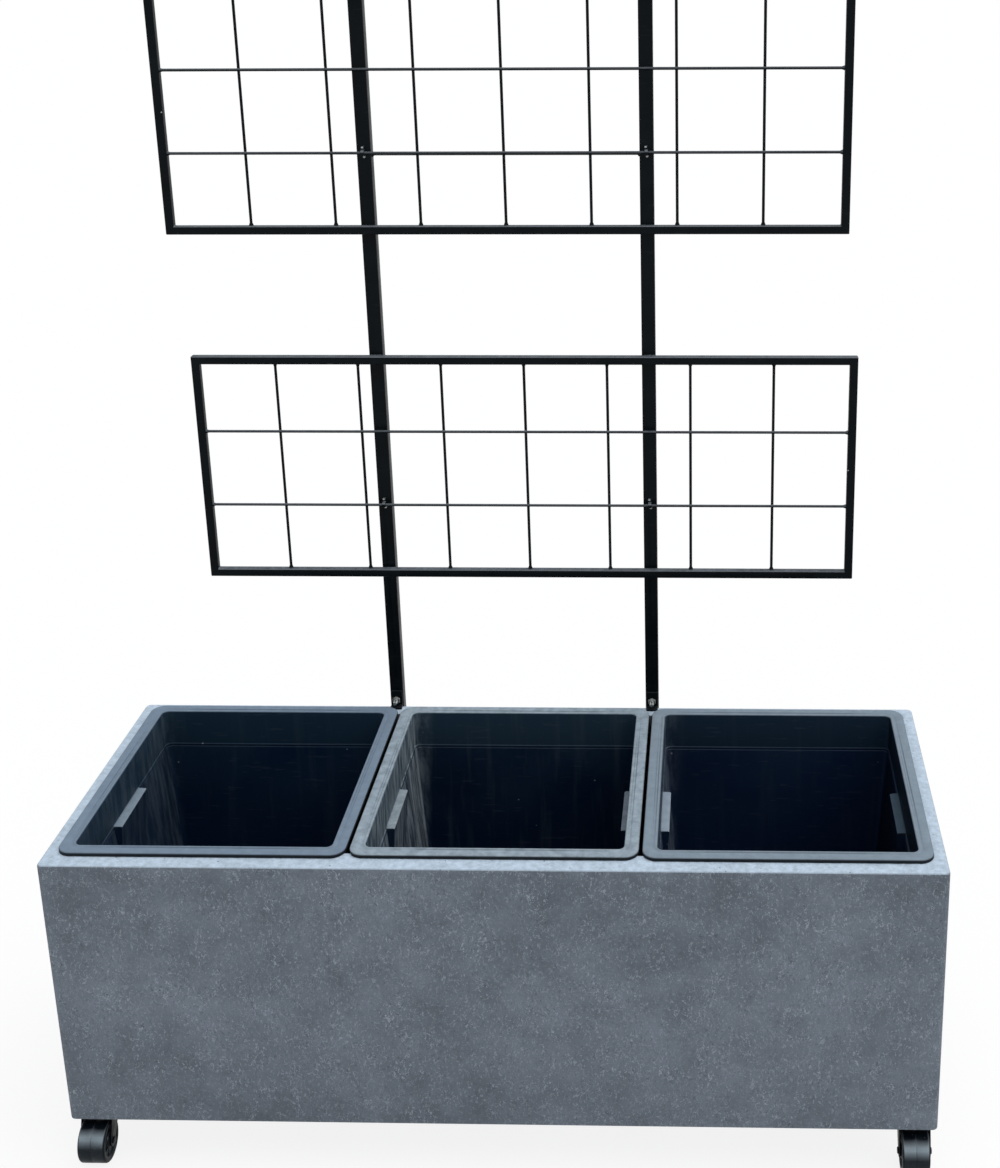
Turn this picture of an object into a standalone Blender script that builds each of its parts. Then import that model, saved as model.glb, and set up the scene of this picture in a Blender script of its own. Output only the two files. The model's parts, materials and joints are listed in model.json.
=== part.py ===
# Trellis planter on wheels: a stone-grey trough with three lift-out liners, a black steel
# trellis bolted to the trough's back, and four swivel casters under it.
# Metres, +Z up, front towards -Y. The origin is on the floor below the middle of the whole.

import math

import bmesh
import bpy
from mathutils import Matrix

# Clearances
GAP = 0.0003            # between pieces that touch
BOLT_PLAY = 0.0003      # round a shank in its hole
JOIN = 0.0004           # how far a screw's head is sunk into the piece that it is joined to
PAST = 0.010            # how far a cutter runs past a face

# Trough
BOX_LENGTH = 1.200
BOX_DEPTH = 0.450
BOX_HEIGHT = 0.405
BOX_WALL = 0.016
BOX_FLOOR = 0.018
BOX_CORNER = 0.007      # radius of the upright corners
BOX_EDGE = 0.003        # radius of the top and bottom edges
LIP_SIDE = 0.030        # width of the rim, whose inner part is a ledge that carries the liners
LIP_FRONT = 0.036
LIP_REAR = 0.027
LIP_DEPTH = 0.025
MOUTH_CORNER = 0.012
DRAIN_RADIUS = 0.011
DRAIN_COUNT = 3

# Liners
LINER_COUNT = 3
RIM_SHOWN_SIDE = 0.017  # rim left bare at each end of the row of liners
RIM_SHOWN_FRONT = 0.0225
RIM_SHOWN_REAR = 0.0135
LINER_SPACING = 0.0045  # between two flanges
MIDDLE_BACK = 0.001     # the middle liner sits this much nearer the back
LINER_DEPTH = 0.340     # rim to inside of floor
LINER_WALL = 0.003
LINER_CORNER = 0.009    # upright corners inside
FLANGE_WIDTH = 0.020
FLANGE_HEIGHT = 0.0058
FLANGE_CORNER = 0.020
FLANGE_EDGE = 0.0020    # rounding along the flange's outer and inner edges
GROOVE_PLACE = 0.0060   # middle of the groove from the mouth
GROOVE_WIDTH = 0.0020   # at its bottom
GROOVE_SLOPE = 0.0015
GROOVE_DEPTH = 0.0012
GROOVE_CORNER = 0.015
STEP_DROP = 0.050       # the walls step inwards this far below the rim
STEP_WIDTH = 0.0015
STEP_FALL = 0.0005
FLOOR_BEND = 0.010
LINER_TAPER = 0.022     # how far a wall leans in by the floor
HOLD_LENGTH = 0.106     # finger pocket in each end wall, a ledge inside
HOLD_DEPTH = 0.0105
HOLD_HEIGHT = 0.072
HOLD_DRAFT = 0.002
LINER_DRAIN_RADIUS = 0.005
LINER_DRAIN_INSET = 0.070

# Posts and what holds them
POST_SIZE = 0.020
POST_WALL = 0.0015
POST_EDGE = 0.0012
POST_SPACING = 0.400
POST_CENTRE = -0.004
POST_FOOT = 0.045       # foot above the trough's underside
POST_ABOVE = 0.002      # post above the upper panel
CAP_TOP = 0.003
CAP_PLUG = 0.014
CAP_EDGE = 0.0008
WALL_BOLT_RADIUS = 0.004
WALL_BOLT_HEAD = 0.0075
WALL_BOLT_DOME = 0.0045
WALL_BOLT_DROPS = (0.075, 0.275)    # below the rim
NUT_RADIUS = 0.0075
NUT_HEIGHT = 0.0065
WALL_BOLT_END = 0.002   # bolt past its nut
BRACKET_WIDTH = 0.018
BRACKET_CLEAR = 0.0005  # angle to the liners' flanges
BRACKET_RISE = 0.027
BRACKET_METAL = 0.003
BRACKET_EDGE = 0.0005
BRACKET_BOLT_RISE = 0.0125
BRACKET_BOLT_RADIUS = 0.003
BRACKET_BOLT_HEAD = 0.0065
BRACKET_BOLT_HEAD_HEIGHT = 0.004
BRACKET_BOLT_INSIDE = 0.010
TIE_RADIUS = 0.0018     # rod between the two posts
TIE_BELOW_WIRE = 0.0045
TIE_SWELL = 1.35        # its welded ends against its plain radius

# Trellis panels
PANEL_WIDTH = 0.976
PANEL_HEIGHT = 0.348
PANEL_TUBE = 0.012
PANEL_TUBE_WALL = 0.001
PANEL_EDGE = 0.001
PANELS = {              # height of the underside above the rim, sideways place, side of the vent
    "lower": (0.224, 0.013, 1),
    "upper": (0.753, -0.005, -1),
}
COLUMNS = 8
ROWS = 3
WIRE_RADIUS = 0.0021
WELD_LENGTH = 0.004
WELD_SWELL = 1.7        # a wire's end against its plain radius
VENT_RADIUS = 0.0016
CLIP_WIDTH = 0.0045
CLIP_RISE = 0.0065      # screw above and below the wire
CLIP_SLANT = 0.001      # upper screw this far left of the clip's middle, lower one right of it
CLIP_METAL = 0.0015
CLIP_SCREW_RADIUS = 0.0023
CLIP_SCREW_HEIGHT = 0.0018

# Casters
CASTER_IN_SIDE = 0.029  # swivel axis from the trough's end
CASTER_IN_FACE = 0.040  # swivel axis from the trough's front or back
CASTER_TRAIL = 0.026    # wheel behind the swivel axis
WHEEL_RADIUS = 0.030
WHEEL_WIDTH = 0.038
WHEEL_SHOULDER = 0.0035
WHEEL_CLEAR = 0.0059    # tread to the fork's web
HUB_RADIUS = 0.011
RIM_RADIUS = 0.022      # where the tread's side ends on the wheel's face
FACE_RECESS = 0.003
HUB_SLOPE = 0.002
FACE_SLOPE = 0.001
AXLE_RADIUS = 0.003
AXLE_HEAD_RADIUS = 0.0052
AXLE_HEAD = 0.0016
AXLE_EDGE = 0.001
FORK_METAL = 0.002
FORK_PLAY = 0.0008      # wheel to fork leg
FORK_END = 0.0085       # round end of a leg about the axle
FORK_FRONT = 0.024      # web ahead of and behind the swivel axis
FORK_REAR = 0.017
FORK_CORNER = 0.004
FORK_WEB_PAST = 0.0003  # web past the legs' outer faces
PLATE_SIZE = 0.048
PLATE_METAL = 0.0025
PLATE_CORNER = 0.006
PLATE_SCREW_PLACE = 0.0185
PLATE_SCREW_HEAD = 0.0042
PLATE_SCREW_HEAD_HEIGHT = 0.0022
PLATE_SCREW_RADIUS = 0.0021
PLATE_SCREW_LENGTH = 0.012
RACE_RADIUS = 0.017
RACE_HEIGHT = 0.004
RACE_EDGE = 0.001
KINGPIN_RADIUS = 0.004
KINGPIN_HEAD_RADIUS = 0.0065
KINGPIN_HEAD = 0.0022

# Places that follow from the sizes. The casters stand as high as their wheels need
CASTER_HEIGHT = (2 * WHEEL_RADIUS + WHEEL_CLEAR + FORK_METAL + GAP + RACE_HEIGHT + PLATE_METAL
                 + GAP)
FRONT_REACH = CASTER_TRAIL + WHEEL_RADIUS - CASTER_IN_FACE
REAR_REACH = GAP + POST_SIZE + GAP + WALL_BOLT_DOME
BOX_Y = (FRONT_REACH - REAR_REACH) / 2
FRONT_Y = BOX_Y - BOX_DEPTH / 2
REAR_Y = BOX_Y + BOX_DEPTH / 2
BOX_BOTTOM = CASTER_HEIGHT
RIM_Z = BOX_BOTTOM + BOX_HEIGHT
POST_Y = REAR_Y + GAP + POST_SIZE / 2
PANEL_Y = REAR_Y - PANEL_TUBE / 2
BRACKET_LEG = RIM_SHOWN_REAR - BRACKET_CLEAR
POST_X = {"left": POST_CENTRE - POST_SPACING / 2, "right": POST_CENTRE + POST_SPACING / 2}

# From a sketch to the side view, its X along Y and its Y upwards, and to the front view
SIDE_VIEW = Matrix(((0, 0, 1, 0), (1, 0, 0, 0), (0, 1, 0, 0), (0, 0, 0, 1)))
FRONT_VIEW = Matrix.Rotation(math.pi / 2, 4, "X")

for old in list(bpy.data.objects):
    bpy.data.objects.remove(old, do_unlink=True)

parts = bpy.data.collections.new("trellis_planter_on_wheels")
cutters = bpy.data.collections.new("cutters")
bpy.context.scene.collection.children.link(parts)
bpy.context.scene.collection.children.link(cutters)


# Materials

def finish(name, colour, roughness, metallic=0.0):
    made = bpy.data.materials.new(name)
    made.use_nodes = True
    shader = made.node_tree.nodes["Principled BSDF"]
    shader.inputs["Base Color"].default_value = (*colour, 1.0)
    shader.inputs["Roughness"].default_value = roughness
    shader.inputs["Metallic"].default_value = metallic
    return made


STONE = finish("stone_composite", (0.135, 0.150, 0.175), 0.85)
LINER_PLASTIC = finish("liner_plastic", (0.045, 0.055, 0.068), 0.50)
BLACK_STEEL = finish("black_steel", (0.012, 0.012, 0.014), 0.40, 0.2)
CAP_PLASTIC = finish("cap_plastic", (0.015, 0.015, 0.015), 0.50)
ZINC = finish("zinc_steel", (0.62, 0.64, 0.66), 0.35, 1.0)
CASTER_STEEL = finish("caster_steel", (0.020, 0.021, 0.023), 0.45, 0.3)
WHEEL_RUBBER = finish("wheel_rubber", (0.030, 0.034, 0.038), 0.55)


# Building helpers

def place(name, mesh, material=None, location=(0, 0, 0)):
    """One object in the parts, or a cutter where no material is given."""
    made = bpy.data.objects.new(name, mesh)
    made.location = location
    if material is None:
        cutters.objects.link(made)
        made.hide_render = True
        made.display_type = "WIRE"
    else:
        parts.objects.link(made)
        if not mesh.materials:
            mesh.materials.append(material)
    return made


def mesh_of(bm, name):
    mesh = bpy.data.meshes.new(name)
    bm.to_mesh(mesh)
    bm.free()
    return mesh


def block(name, size, centre=(0, 0, 0), corner=0.0, edge=0.0):
    """A block, with its upright corners rounded and then its top and bottom edges."""
    bm = bmesh.new()
    bmesh.ops.create_cube(bm, size=1.0)
    bmesh.ops.scale(bm, vec=size, verts=bm.verts)
    if corner:
        upright = [e for e in bm.edges if abs(e.verts[0].co.z - e.verts[1].co.z) > size[2] / 2]
        bmesh.ops.bevel(bm, geom=upright, offset=corner, segments=4, profile=0.5, affect="EDGES")
    if edge:
        rims = [e for e in bm.edges if abs(e.verts[0].co.z - e.verts[1].co.z) < size[2] / 4]
        bmesh.ops.bevel(bm, geom=rims, offset=edge, segments=3, profile=0.5, affect="EDGES")
    bmesh.ops.translate(bm, vec=centre, verts=bm.verts)
    return mesh_of(bm, name)


def rods(name, centres, radius, length, axis="Z", segments=12):
    """Round bars of one size, all along one axis, in one mesh."""
    turn = {"X": Matrix.Rotation(math.pi / 2, 4, "Y"), "Y": Matrix.Rotation(math.pi / 2, 4, "X"),
            "Z": Matrix.Identity(4)}[axis]
    bm = bmesh.new()
    for centre in centres:
        bmesh.ops.create_cone(bm, cap_ends=True, segments=segments, radius1=radius,
                              radius2=radius, depth=length,
                              matrix=Matrix.Translation(centre) @ turn)
    return mesh_of(bm, name)


def outline(name, rings, thickness, turn):
    """A flat piece of even thickness from closed outlines, the inner ones its windows."""
    curve = bpy.data.curves.new(name, "CURVE")
    curve.dimensions = "2D"
    curve.fill_mode = "BOTH"
    curve.extrude = thickness / 2
    for ring in rings:
        spline = curve.splines.new("POLY")
        spline.points.add(len(ring) - 1)
        for point, (x, y) in zip(spline.points, ring):
            point.co = (x, y, 0, 1)
        spline.use_cyclic_u = True
    holder = bpy.data.objects.new(name, curve)
    cutters.objects.link(holder)
    graph = bpy.context.evaluated_depsgraph_get()
    mesh = bpy.data.meshes.new_from_object(holder.evaluated_get(graph))
    bpy.data.objects.remove(holder, do_unlink=True)
    bm = bmesh.new()
    bm.from_mesh(mesh)
    bmesh.ops.remove_doubles(bm, verts=bm.verts, dist=0.00001)
    bmesh.ops.transform(bm, matrix=turn, verts=bm.verts)
    bm.to_mesh(mesh)
    bm.free()
    return mesh


def turned(name, profile, material, closed=False, steps=24):
    """A turned piece about its own Z. The profile runs down the outer side."""
    mesh = bpy.data.meshes.new(name)
    count = len(profile)
    edges = [(i, i + 1) for i in range(count - 1)]
    if closed:
        edges.append((count - 1, 0))
    mesh.from_pydata([(r, 0, z) for r, z in profile], edges, [])
    made = place(name, mesh, material)
    spin = made.modifiers.new("turn", "SCREW")
    spin.steps = steps
    spin.render_steps = steps
    spin.use_merge_vertices = True
    spin.merge_threshold = 0.00005
    spin.use_smooth_shade = True
    return made


def bar(name, start, end, radius, material, weld=1.0):
    """A straight wire or rod, swelling at both ends where it is welded."""
    curve = bpy.data.curves.new(name, "CURVE")
    curve.dimensions = "3D"
    curve.bevel_depth = radius
    curve.bevel_resolution = 2
    curve.use_fill_caps = True
    spline = curve.splines.new("POLY")
    length = math.dist(start, end)
    shares = (0, WELD_LENGTH / length, 1 - WELD_LENGTH / length, 1)
    spline.points.add(len(shares) - 1)
    for point, share in zip(spline.points, shares):
        co = [a + (b - a) * share for a, b in zip(start, end)]
        point.co = (*co, 1)
        point.radius = weld if share in (0, 1) else 1.0
    curve.materials.append(material)
    made = bpy.data.objects.new(name, curve)
    parts.objects.link(made)
    return made


def boolean(target, tool, operation):
    change = target.modifiers.new(tool.name, "BOOLEAN")
    change.object = tool
    change.operation = operation
    change.solver = "EXACT"


def cut(target, mesh, location=(0, 0, 0)):
    boolean(target, place(mesh.name, mesh, location=location), "DIFFERENCE")


def add(target, mesh, location=(0, 0, 0)):
    boolean(target, place(mesh.name, mesh, location=location), "UNION")


def soften(target, width, segments=1):
    edge = target.modifiers.new("edge", "BEVEL")
    edge.width = width
    edge.segments = segments
    edge.limit_method = "ANGLE"
    edge.angle_limit = math.radians(40)


def axis_empty(name, location, parent=None):
    """A guide on a joint's axis, which carries the moving pieces."""
    guide = bpy.data.objects.new(name, None)
    guide.empty_display_size = 0.02
    guide.hide_render = True
    guide.location = location
    guide.parent = parent
    cutters.objects.link(guide)
    return guide


# Trough

def caster_places():
    x = BOX_LENGTH / 2 - CASTER_IN_SIDE
    rows = {"front": FRONT_Y + CASTER_IN_FACE, "rear": REAR_Y - CASTER_IN_FACE}
    return {f"{row}_{side}": (sign * x, y) for row, y in rows.items()
            for side, sign in (("left", -1), ("right", 1))}


def plate_screws(x, y):
    """The four screws of the caster plate at x, y."""
    return [(x + i * PLATE_SCREW_PLACE, y + j * PLATE_SCREW_PLACE)
            for i in (-1, 1) for j in (-1, 1)]


def make_trough():
    middle = (0, BOX_Y, BOX_BOTTOM + BOX_HEIGHT / 2)
    trough = place("planter_box", block("planter_box", (BOX_LENGTH, BOX_DEPTH, BOX_HEIGHT),
                                        corner=BOX_CORNER, edge=BOX_EDGE), STONE, middle)
    room_height = BOX_HEIGHT - BOX_FLOOR + PAST
    room = (BOX_LENGTH - 2 * BOX_WALL, BOX_DEPTH - 2 * BOX_WALL, room_height)
    cut(trough, block("room_cutter", room), (0, BOX_Y, BOX_BOTTOM + BOX_FLOOR + room_height / 2))
    pitch = BOX_LENGTH / DRAIN_COUNT
    drains = [((i - (DRAIN_COUNT - 1) / 2) * pitch, BOX_Y, BOX_BOTTOM) for i in range(DRAIN_COUNT)]
    cut(trough, rods("drain_cutter", drains, DRAIN_RADIUS, 4 * BOX_FLOOR, segments=16))
    holes = [(x, REAR_Y, RIM_Z - drop) for x in POST_X.values() for drop in WALL_BOLT_DROPS]
    cut(trough, rods("wall_bolt_cutter", holes, WALL_BOLT_RADIUS + BOLT_PLAY, 4 * BOX_WALL, "Y"))
    bores = [(x, y, BOX_BOTTOM) for place_xy in caster_places().values()
             for x, y in plate_screws(*place_xy)]
    depth = 2 * (PLATE_SCREW_LENGTH + BOLT_PLAY)
    cut(trough, rods("plate_screw_cutter", bores, PLATE_SCREW_RADIUS + BOLT_PLAY, depth, segments=6))


def make_rim_ledge():
    """Ring inside the top of the walls, level with them, that the liners' flanges rest on."""
    across = (BOX_LENGTH - 2 * (BOX_WALL + GAP), BOX_DEPTH - 2 * (BOX_WALL + GAP), LIP_DEPTH)
    middle = (0, BOX_Y, RIM_Z - LIP_DEPTH / 2)
    ledge = place("rim_ledge", block("rim_ledge", across), STONE, middle)
    mouth = (BOX_LENGTH - 2 * LIP_SIDE, BOX_DEPTH - LIP_FRONT - LIP_REAR, LIP_DEPTH + 2 * PAST)
    mouth_y = BOX_Y + (LIP_FRONT - LIP_REAR) / 2
    cut(ledge, block("mouth_cutter", mouth, corner=MOUTH_CORNER), (0, mouth_y, middle[2]))


# Liners

def liner_ring(half_x, half_y, radius, z, ledge, reach):
    """One closed turn round a liner, with the ledge of the finger pocket in both end walls."""
    side = [(0.0, -reach - HOLD_DRAFT), (ledge, -reach), (ledge, reach), (0.0, reach + HOLD_DRAFT)]
    ring = []
    for quarter in range(4):
        sx = 1 if quarter in (0, 3) else -1
        sy = 1 if quarter in (0, 1) else -1
        for step in range(4):
            angle = math.radians(90 * quarter + 30 * step)
            ring.append((sx * (half_x - radius) + radius * math.cos(angle),
                         sy * (half_y - radius) + radius * math.sin(angle), z))
        if quarter == 1:
            ring += [(-half_x + inward, -along, z) for inward, along in side]
        if quarter == 3:
            ring += [(half_x - inward, along, z) for inward, along in side]
    return ring


def top_rows():
    """Inset from the mouth, height from the rim, corner radius and ledge, from the flange's
    foot over its top and down the inside of the wall to the floor."""
    top = FLANGE_HEIGHT
    edge = FLANGE_EDGE
    groove_bottom = top - GROOVE_DEPTH
    groove_foot = GROOVE_WIDTH / 2
    groove_top = groove_foot + GROOVE_SLOPE
    return [
        (-FLANGE_WIDTH, GAP, FLANGE_CORNER, 0),
        (-FLANGE_WIDTH, top - edge, FLANGE_CORNER, 0),
        (-FLANGE_WIDTH + edge, top, FLANGE_CORNER, 0),
        (-GROOVE_PLACE - groove_top, top, GROOVE_CORNER, 0),
        (-GROOVE_PLACE - groove_foot, groove_bottom, GROOVE_CORNER, 0),
        (-GROOVE_PLACE + groove_foot, groove_bottom, GROOVE_CORNER, 0),
        (-GROOVE_PLACE + groove_top, top, GROOVE_CORNER, 0),
        (-edge, top, LINER_CORNER, 0),
        (0.0, top - edge, LINER_CORNER, 0),
        (0.0, -STEP_DROP, LINER_CORNER, 0),
        (STEP_WIDTH, -STEP_DROP - STEP_FALL, LINER_CORNER, HOLD_DEPTH),
        (pocket_foot(), -STEP_DROP - HOLD_HEIGHT, LINER_CORNER, 0),
        (LINER_TAPER, -LINER_DEPTH + FLOOR_BEND, LINER_CORNER, 0),
        (LINER_TAPER + FLOOR_BEND, -LINER_DEPTH, LINER_CORNER, 0),
    ]


def under_rows():
    """The same for the other side of the wall, from the flange's foot up under the flange."""
    wall = LINER_WALL
    corner = LINER_CORNER + wall
    flange_corner = FLANGE_CORNER - wall
    return [
        (-FLANGE_WIDTH + wall, GAP, flange_corner, 0),
        (-FLANGE_WIDTH + wall, FLANGE_HEIGHT - wall, flange_corner, 0),
        (-wall, FLANGE_HEIGHT - wall, corner, 0),
        (-wall, -STEP_DROP - wall, corner, 0),
        (STEP_WIDTH - wall, -STEP_DROP - STEP_FALL - wall, corner, HOLD_DEPTH),
        (pocket_foot() - wall, -STEP_DROP - HOLD_HEIGHT, corner, 0),
        (LINER_TAPER - wall, -LINER_DEPTH + FLOOR_BEND, corner, 0),
        (LINER_TAPER + FLOOR_BEND - wall / 2, -LINER_DEPTH - wall, corner, 0),
    ]


def pocket_foot():
    """Inset of the leaning wall where the finger pocket runs out."""
    lean = (LINER_TAPER - STEP_WIDTH) / (LINER_DEPTH - STEP_DROP)
    return STEP_WIDTH + lean * HOLD_HEIGHT


def liner_mesh():
    ends = BOX_LENGTH - 2 * RIM_SHOWN_SIDE - (LINER_COUNT - 1) * LINER_SPACING
    half_x = ends / LINER_COUNT / 2 - FLANGE_WIDTH
    half_y = (BOX_DEPTH - RIM_SHOWN_FRONT - RIM_SHOWN_REAR) / 2 - FLANGE_WIDTH
    bm = bmesh.new()
    rings = []
    reach = HOLD_LENGTH / 2
    turns = [(row, reach - LINER_WALL) for row in reversed(under_rows())]
    turns += [(row, reach) for row in top_rows()]
    for (inset, z, radius, ledge), pocket_reach in turns:
        ring = liner_ring(half_x - inset, half_y - inset, radius, z, ledge, pocket_reach)
        rings.append([bm.verts.new(point) for point in ring])
    for lower, upper in zip(rings, rings[1:]):
        for i in range(len(upper)):
            j = (i + 1) % len(upper)
            bm.faces.new((lower[i], lower[j], upper[j], upper[i]))
    for floor in (rings[0], rings[-1]):
        bm.faces.new(floor)
    bmesh.ops.recalc_face_normals(bm, faces=bm.faces)
    x = half_x - LINER_DRAIN_INSET
    y = half_y - LINER_DRAIN_INSET
    drains = [(i * x, j * y, -LINER_DEPTH) for i in (-1, 1) for j in (-1, 1)]
    return mesh_of(bm, "liner"), drains


def make_liners():
    mesh, drains = liner_mesh()
    y = BOX_Y + (RIM_SHOWN_FRONT - RIM_SHOWN_REAR) / 2
    pitch = (BOX_LENGTH - 2 * RIM_SHOWN_SIDE + LINER_SPACING) / LINER_COUNT
    for name, place_in_row in (("left", -1), ("middle", 0), ("right", 1)):
        back = MIDDLE_BACK if name == "middle" else 0
        at = (place_in_row * pitch, y + back, RIM_Z)
        liner = place(f"liner_{name}", mesh, LINER_PLASTIC, at)
        cut(liner, rods(f"liner_drain_cutter_{name}", drains, LINER_DRAIN_RADIUS,
                        6 * LINER_WALL, segments=10), at)


# Trellis

def post_top():
    return RIM_Z + PANELS["upper"][0] + PANEL_HEIGHT + POST_ABOVE


def make_post(side):
    x = POST_X[side]
    foot = BOX_BOTTOM + POST_FOOT
    height = post_top() - foot
    at = (x, POST_Y, foot + height / 2)
    post = place(f"post_{side}", block(f"post_{side}", (POST_SIZE, POST_SIZE, height)),
                 BLACK_STEEL, at)
    soften(post, POST_EDGE)
    hollow = POST_SIZE - 2 * POST_WALL
    cut(post, block(f"post_hollow_{side}", (hollow, hollow, height + 2 * PAST)), at)
    holes = [(x, POST_Y, RIM_Z - drop) for drop in WALL_BOLT_DROPS]
    cut(post, rods(f"post_bolt_cutter_{side}", holes, WALL_BOLT_RADIUS + BOLT_PLAY,
                   2 * POST_SIZE, "Y"))
    front = [(x, POST_Y - POST_SIZE / 2, RIM_Z + BRACKET_BOLT_RISE)]
    cut(post, rods(f"post_bracket_cutter_{side}", front, BRACKET_BOLT_RADIUS + BOLT_PLAY,
                   POST_SIZE / 2, "Y"))


def make_cap(side):
    x = POST_X[side]
    top = post_top() + GAP
    cap = place(f"post_cap_{side}", block(f"post_cap_{side}", (POST_SIZE, POST_SIZE, CAP_TOP)),
                CAP_PLASTIC, (x, POST_Y, top + CAP_TOP / 2))
    soften(cap, CAP_EDGE)
    plug = POST_SIZE - 2 * POST_WALL - 2 * GAP
    add(cap, block(f"cap_plug_{side}", (plug, plug, CAP_PLUG + CAP_TOP / 2)),
        (x, POST_Y, top + CAP_TOP / 4 - CAP_PLUG / 2))


def dome(radius, height, points=5):
    """Quarter round from the axis out to the rim, for a bolt's head."""
    return [(radius * math.sin(math.pi / 2 * i / (points - 1)),
             height * math.cos(math.pi / 2 * i / (points - 1))) for i in range(points)]


def make_wall_bolt(side, level, drop):
    """Domed bolt from behind the post, through post and wall, with its nut inside the trough."""
    head_plane = POST_Y + POST_SIZE / 2 + GAP
    reach = head_plane - (REAR_Y - BOX_WALL) + GAP + NUT_HEIGHT + WALL_BOLT_END
    profile = dome(WALL_BOLT_HEAD, WALL_BOLT_DOME)
    profile += [(WALL_BOLT_RADIUS, 0), (WALL_BOLT_RADIUS, -reach), (0, -reach)]
    bolt = turned(f"wall_bolt_{side}_{level}", profile, ZINC, steps=12)
    nut_y = reach - WALL_BOLT_END - NUT_HEIGHT / 2
    add(bolt, rods(f"wall_nut_{side}_{level}", [(0, 0, -nut_y)], NUT_RADIUS, NUT_HEIGHT,
                   segments=6))
    at = (POST_X[side], head_plane, RIM_Z - drop)
    tool = bolt.modifiers[-1].object
    for piece in (bolt, tool):
        piece.rotation_euler = (-math.pi / 2, 0, 0)
        piece.location = at


def make_bracket(side):
    """Angle lying on the trough's rim in the notch between two flanges, bolted to the post."""
    x = POST_X[side]
    leg = BRACKET_LEG
    metal = BRACKET_METAL
    shape = [(0, 0), (0, BRACKET_RISE), (-metal, BRACKET_RISE), (-metal, metal), (-leg, metal),
             (-leg, 0)]
    bracket = place(f"rim_bracket_{side}",
                    outline(f"rim_bracket_{side}", [shape], BRACKET_WIDTH, SIDE_VIEW),
                    BLACK_STEEL, (x, REAR_Y, RIM_Z + GAP))
    soften(bracket, BRACKET_EDGE)
    at = (x, REAR_Y, RIM_Z + BRACKET_BOLT_RISE)
    cut(bracket, rods(f"bracket_hole_{side}", [at], BRACKET_BOLT_RADIUS + BOLT_PLAY,
                      4 * metal, "Y"))
    head = REAR_Y - metal - GAP
    length = head - (REAR_Y + GAP + POST_WALL) - BRACKET_BOLT_INSIDE
    bolt = place(f"bracket_bolt_{side}",
                 rods(f"bracket_bolt_{side}", [(0, length / 2, 0)], BRACKET_BOLT_RADIUS,
                      -length, "Y"), ZINC, (x, head, at[2]))
    half = BRACKET_BOLT_HEAD_HEIGHT / 2
    add(bolt, rods(f"bracket_bolt_head_{side}", [(0, -half, 0)], BRACKET_BOLT_HEAD, 2 * half,
                   "Y", segments=6), (x, head, at[2]))


def make_panel(level):
    rise, x, vent_side = PANELS[level]
    bottom = RIM_Z + rise
    wide, high = PANEL_WIDTH, PANEL_HEIGHT

    def ring(grow):
        w = wide / 2 + grow
        h = high / 2 + grow
        return [(-w, -h), (w, -h), (w, h), (-w, h)]

    middle = (x, PANEL_Y, bottom + high / 2)
    frame = place(f"panel_frame_{level}",
                  outline(f"panel_frame_{level}", [ring(0), ring(-PANEL_TUBE)], PANEL_TUBE,
                          FRONT_VIEW), BLACK_STEEL, middle)
    soften(frame, PANEL_EDGE)
    wall = PANEL_TUBE_WALL
    cut(frame, outline(f"panel_hollow_{level}", [ring(-wall), ring(wall - PANEL_TUBE)],
                       PANEL_TUBE - 2 * wall, FRONT_VIEW), middle)
    vent = (x + vent_side * wide / 2, PANEL_Y, bottom + high / 2)
    cut(frame, rods(f"panel_vent_{level}", [vent], VENT_RADIUS, PANEL_TUBE, "X", segments=8))

    front = PANEL_Y - WIRE_RADIUS - GAP / 2
    rear = PANEL_Y + WIRE_RADIUS + GAP / 2
    inner = PANEL_TUBE + GAP
    for row in range(1, ROWS):
        z = bottom + high * row / ROWS
        bar(f"{level}_cross_wire_{row}", (x - wide / 2 + inner, front, z),
            (x + wide / 2 - inner, front, z), WIRE_RADIUS, BLACK_STEEL, WELD_SWELL)
    for column in range(1, COLUMNS):
        wire_x = x - wide / 2 + wide * column / COLUMNS
        bar(f"{level}_upright_wire_{column}", (wire_x, rear, bottom + inner),
            (wire_x, rear, bottom + high - inner), WIRE_RADIUS, BLACK_STEEL, WELD_SWELL)
    for side, post_x in POST_X.items():
        make_clip(level, side, post_x, front, bottom + high / ROWS)


def make_clip(level, side, x, wire_y, z):
    """Narrow saddle over the cross wire, held to the post by a screw above and one below."""
    post_front = REAR_Y
    inner = WIRE_RADIUS + GAP
    outer = inner + CLIP_METAL
    foot = CLIP_RISE + CLIP_SCREW_RADIUS
    face = wire_y - post_front
    over = [(outer * math.cos(a), outer * math.sin(a)) for a in
            [math.radians(90 + 30 * i) for i in range(7)]]
    under = [(inner * math.cos(a), inner * math.sin(a)) for a in
             [math.radians(270 - 30 * i) for i in range(7)]]
    shape = [(0, foot), (-CLIP_METAL, foot), (-CLIP_METAL, outer)]
    shape += [(face + y, rise) for y, rise in over]
    shape += [(-CLIP_METAL, -outer), (-CLIP_METAL, -foot), (0, -foot), (0, -inner)]
    shape += [(face + y, rise) for y, rise in under]
    shape += [(0, inner)]
    clip = place(f"wire_clip_{level}_{side}",
                 outline(f"wire_clip_{level}_{side}", [shape], CLIP_WIDTH, SIDE_VIEW),
                 BLACK_STEEL, (x, post_front, z))
    heads = [(-sign * CLIP_SLANT, -CLIP_METAL - CLIP_SCREW_HEIGHT / 2 + JOIN, sign * CLIP_RISE)
             for sign in (-1, 1)]
    add(clip, rods(f"clip_screws_{level}_{side}", heads, CLIP_SCREW_RADIUS, CLIP_SCREW_HEIGHT,
                   "Y", segments=10), (x, post_front, z))


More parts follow.
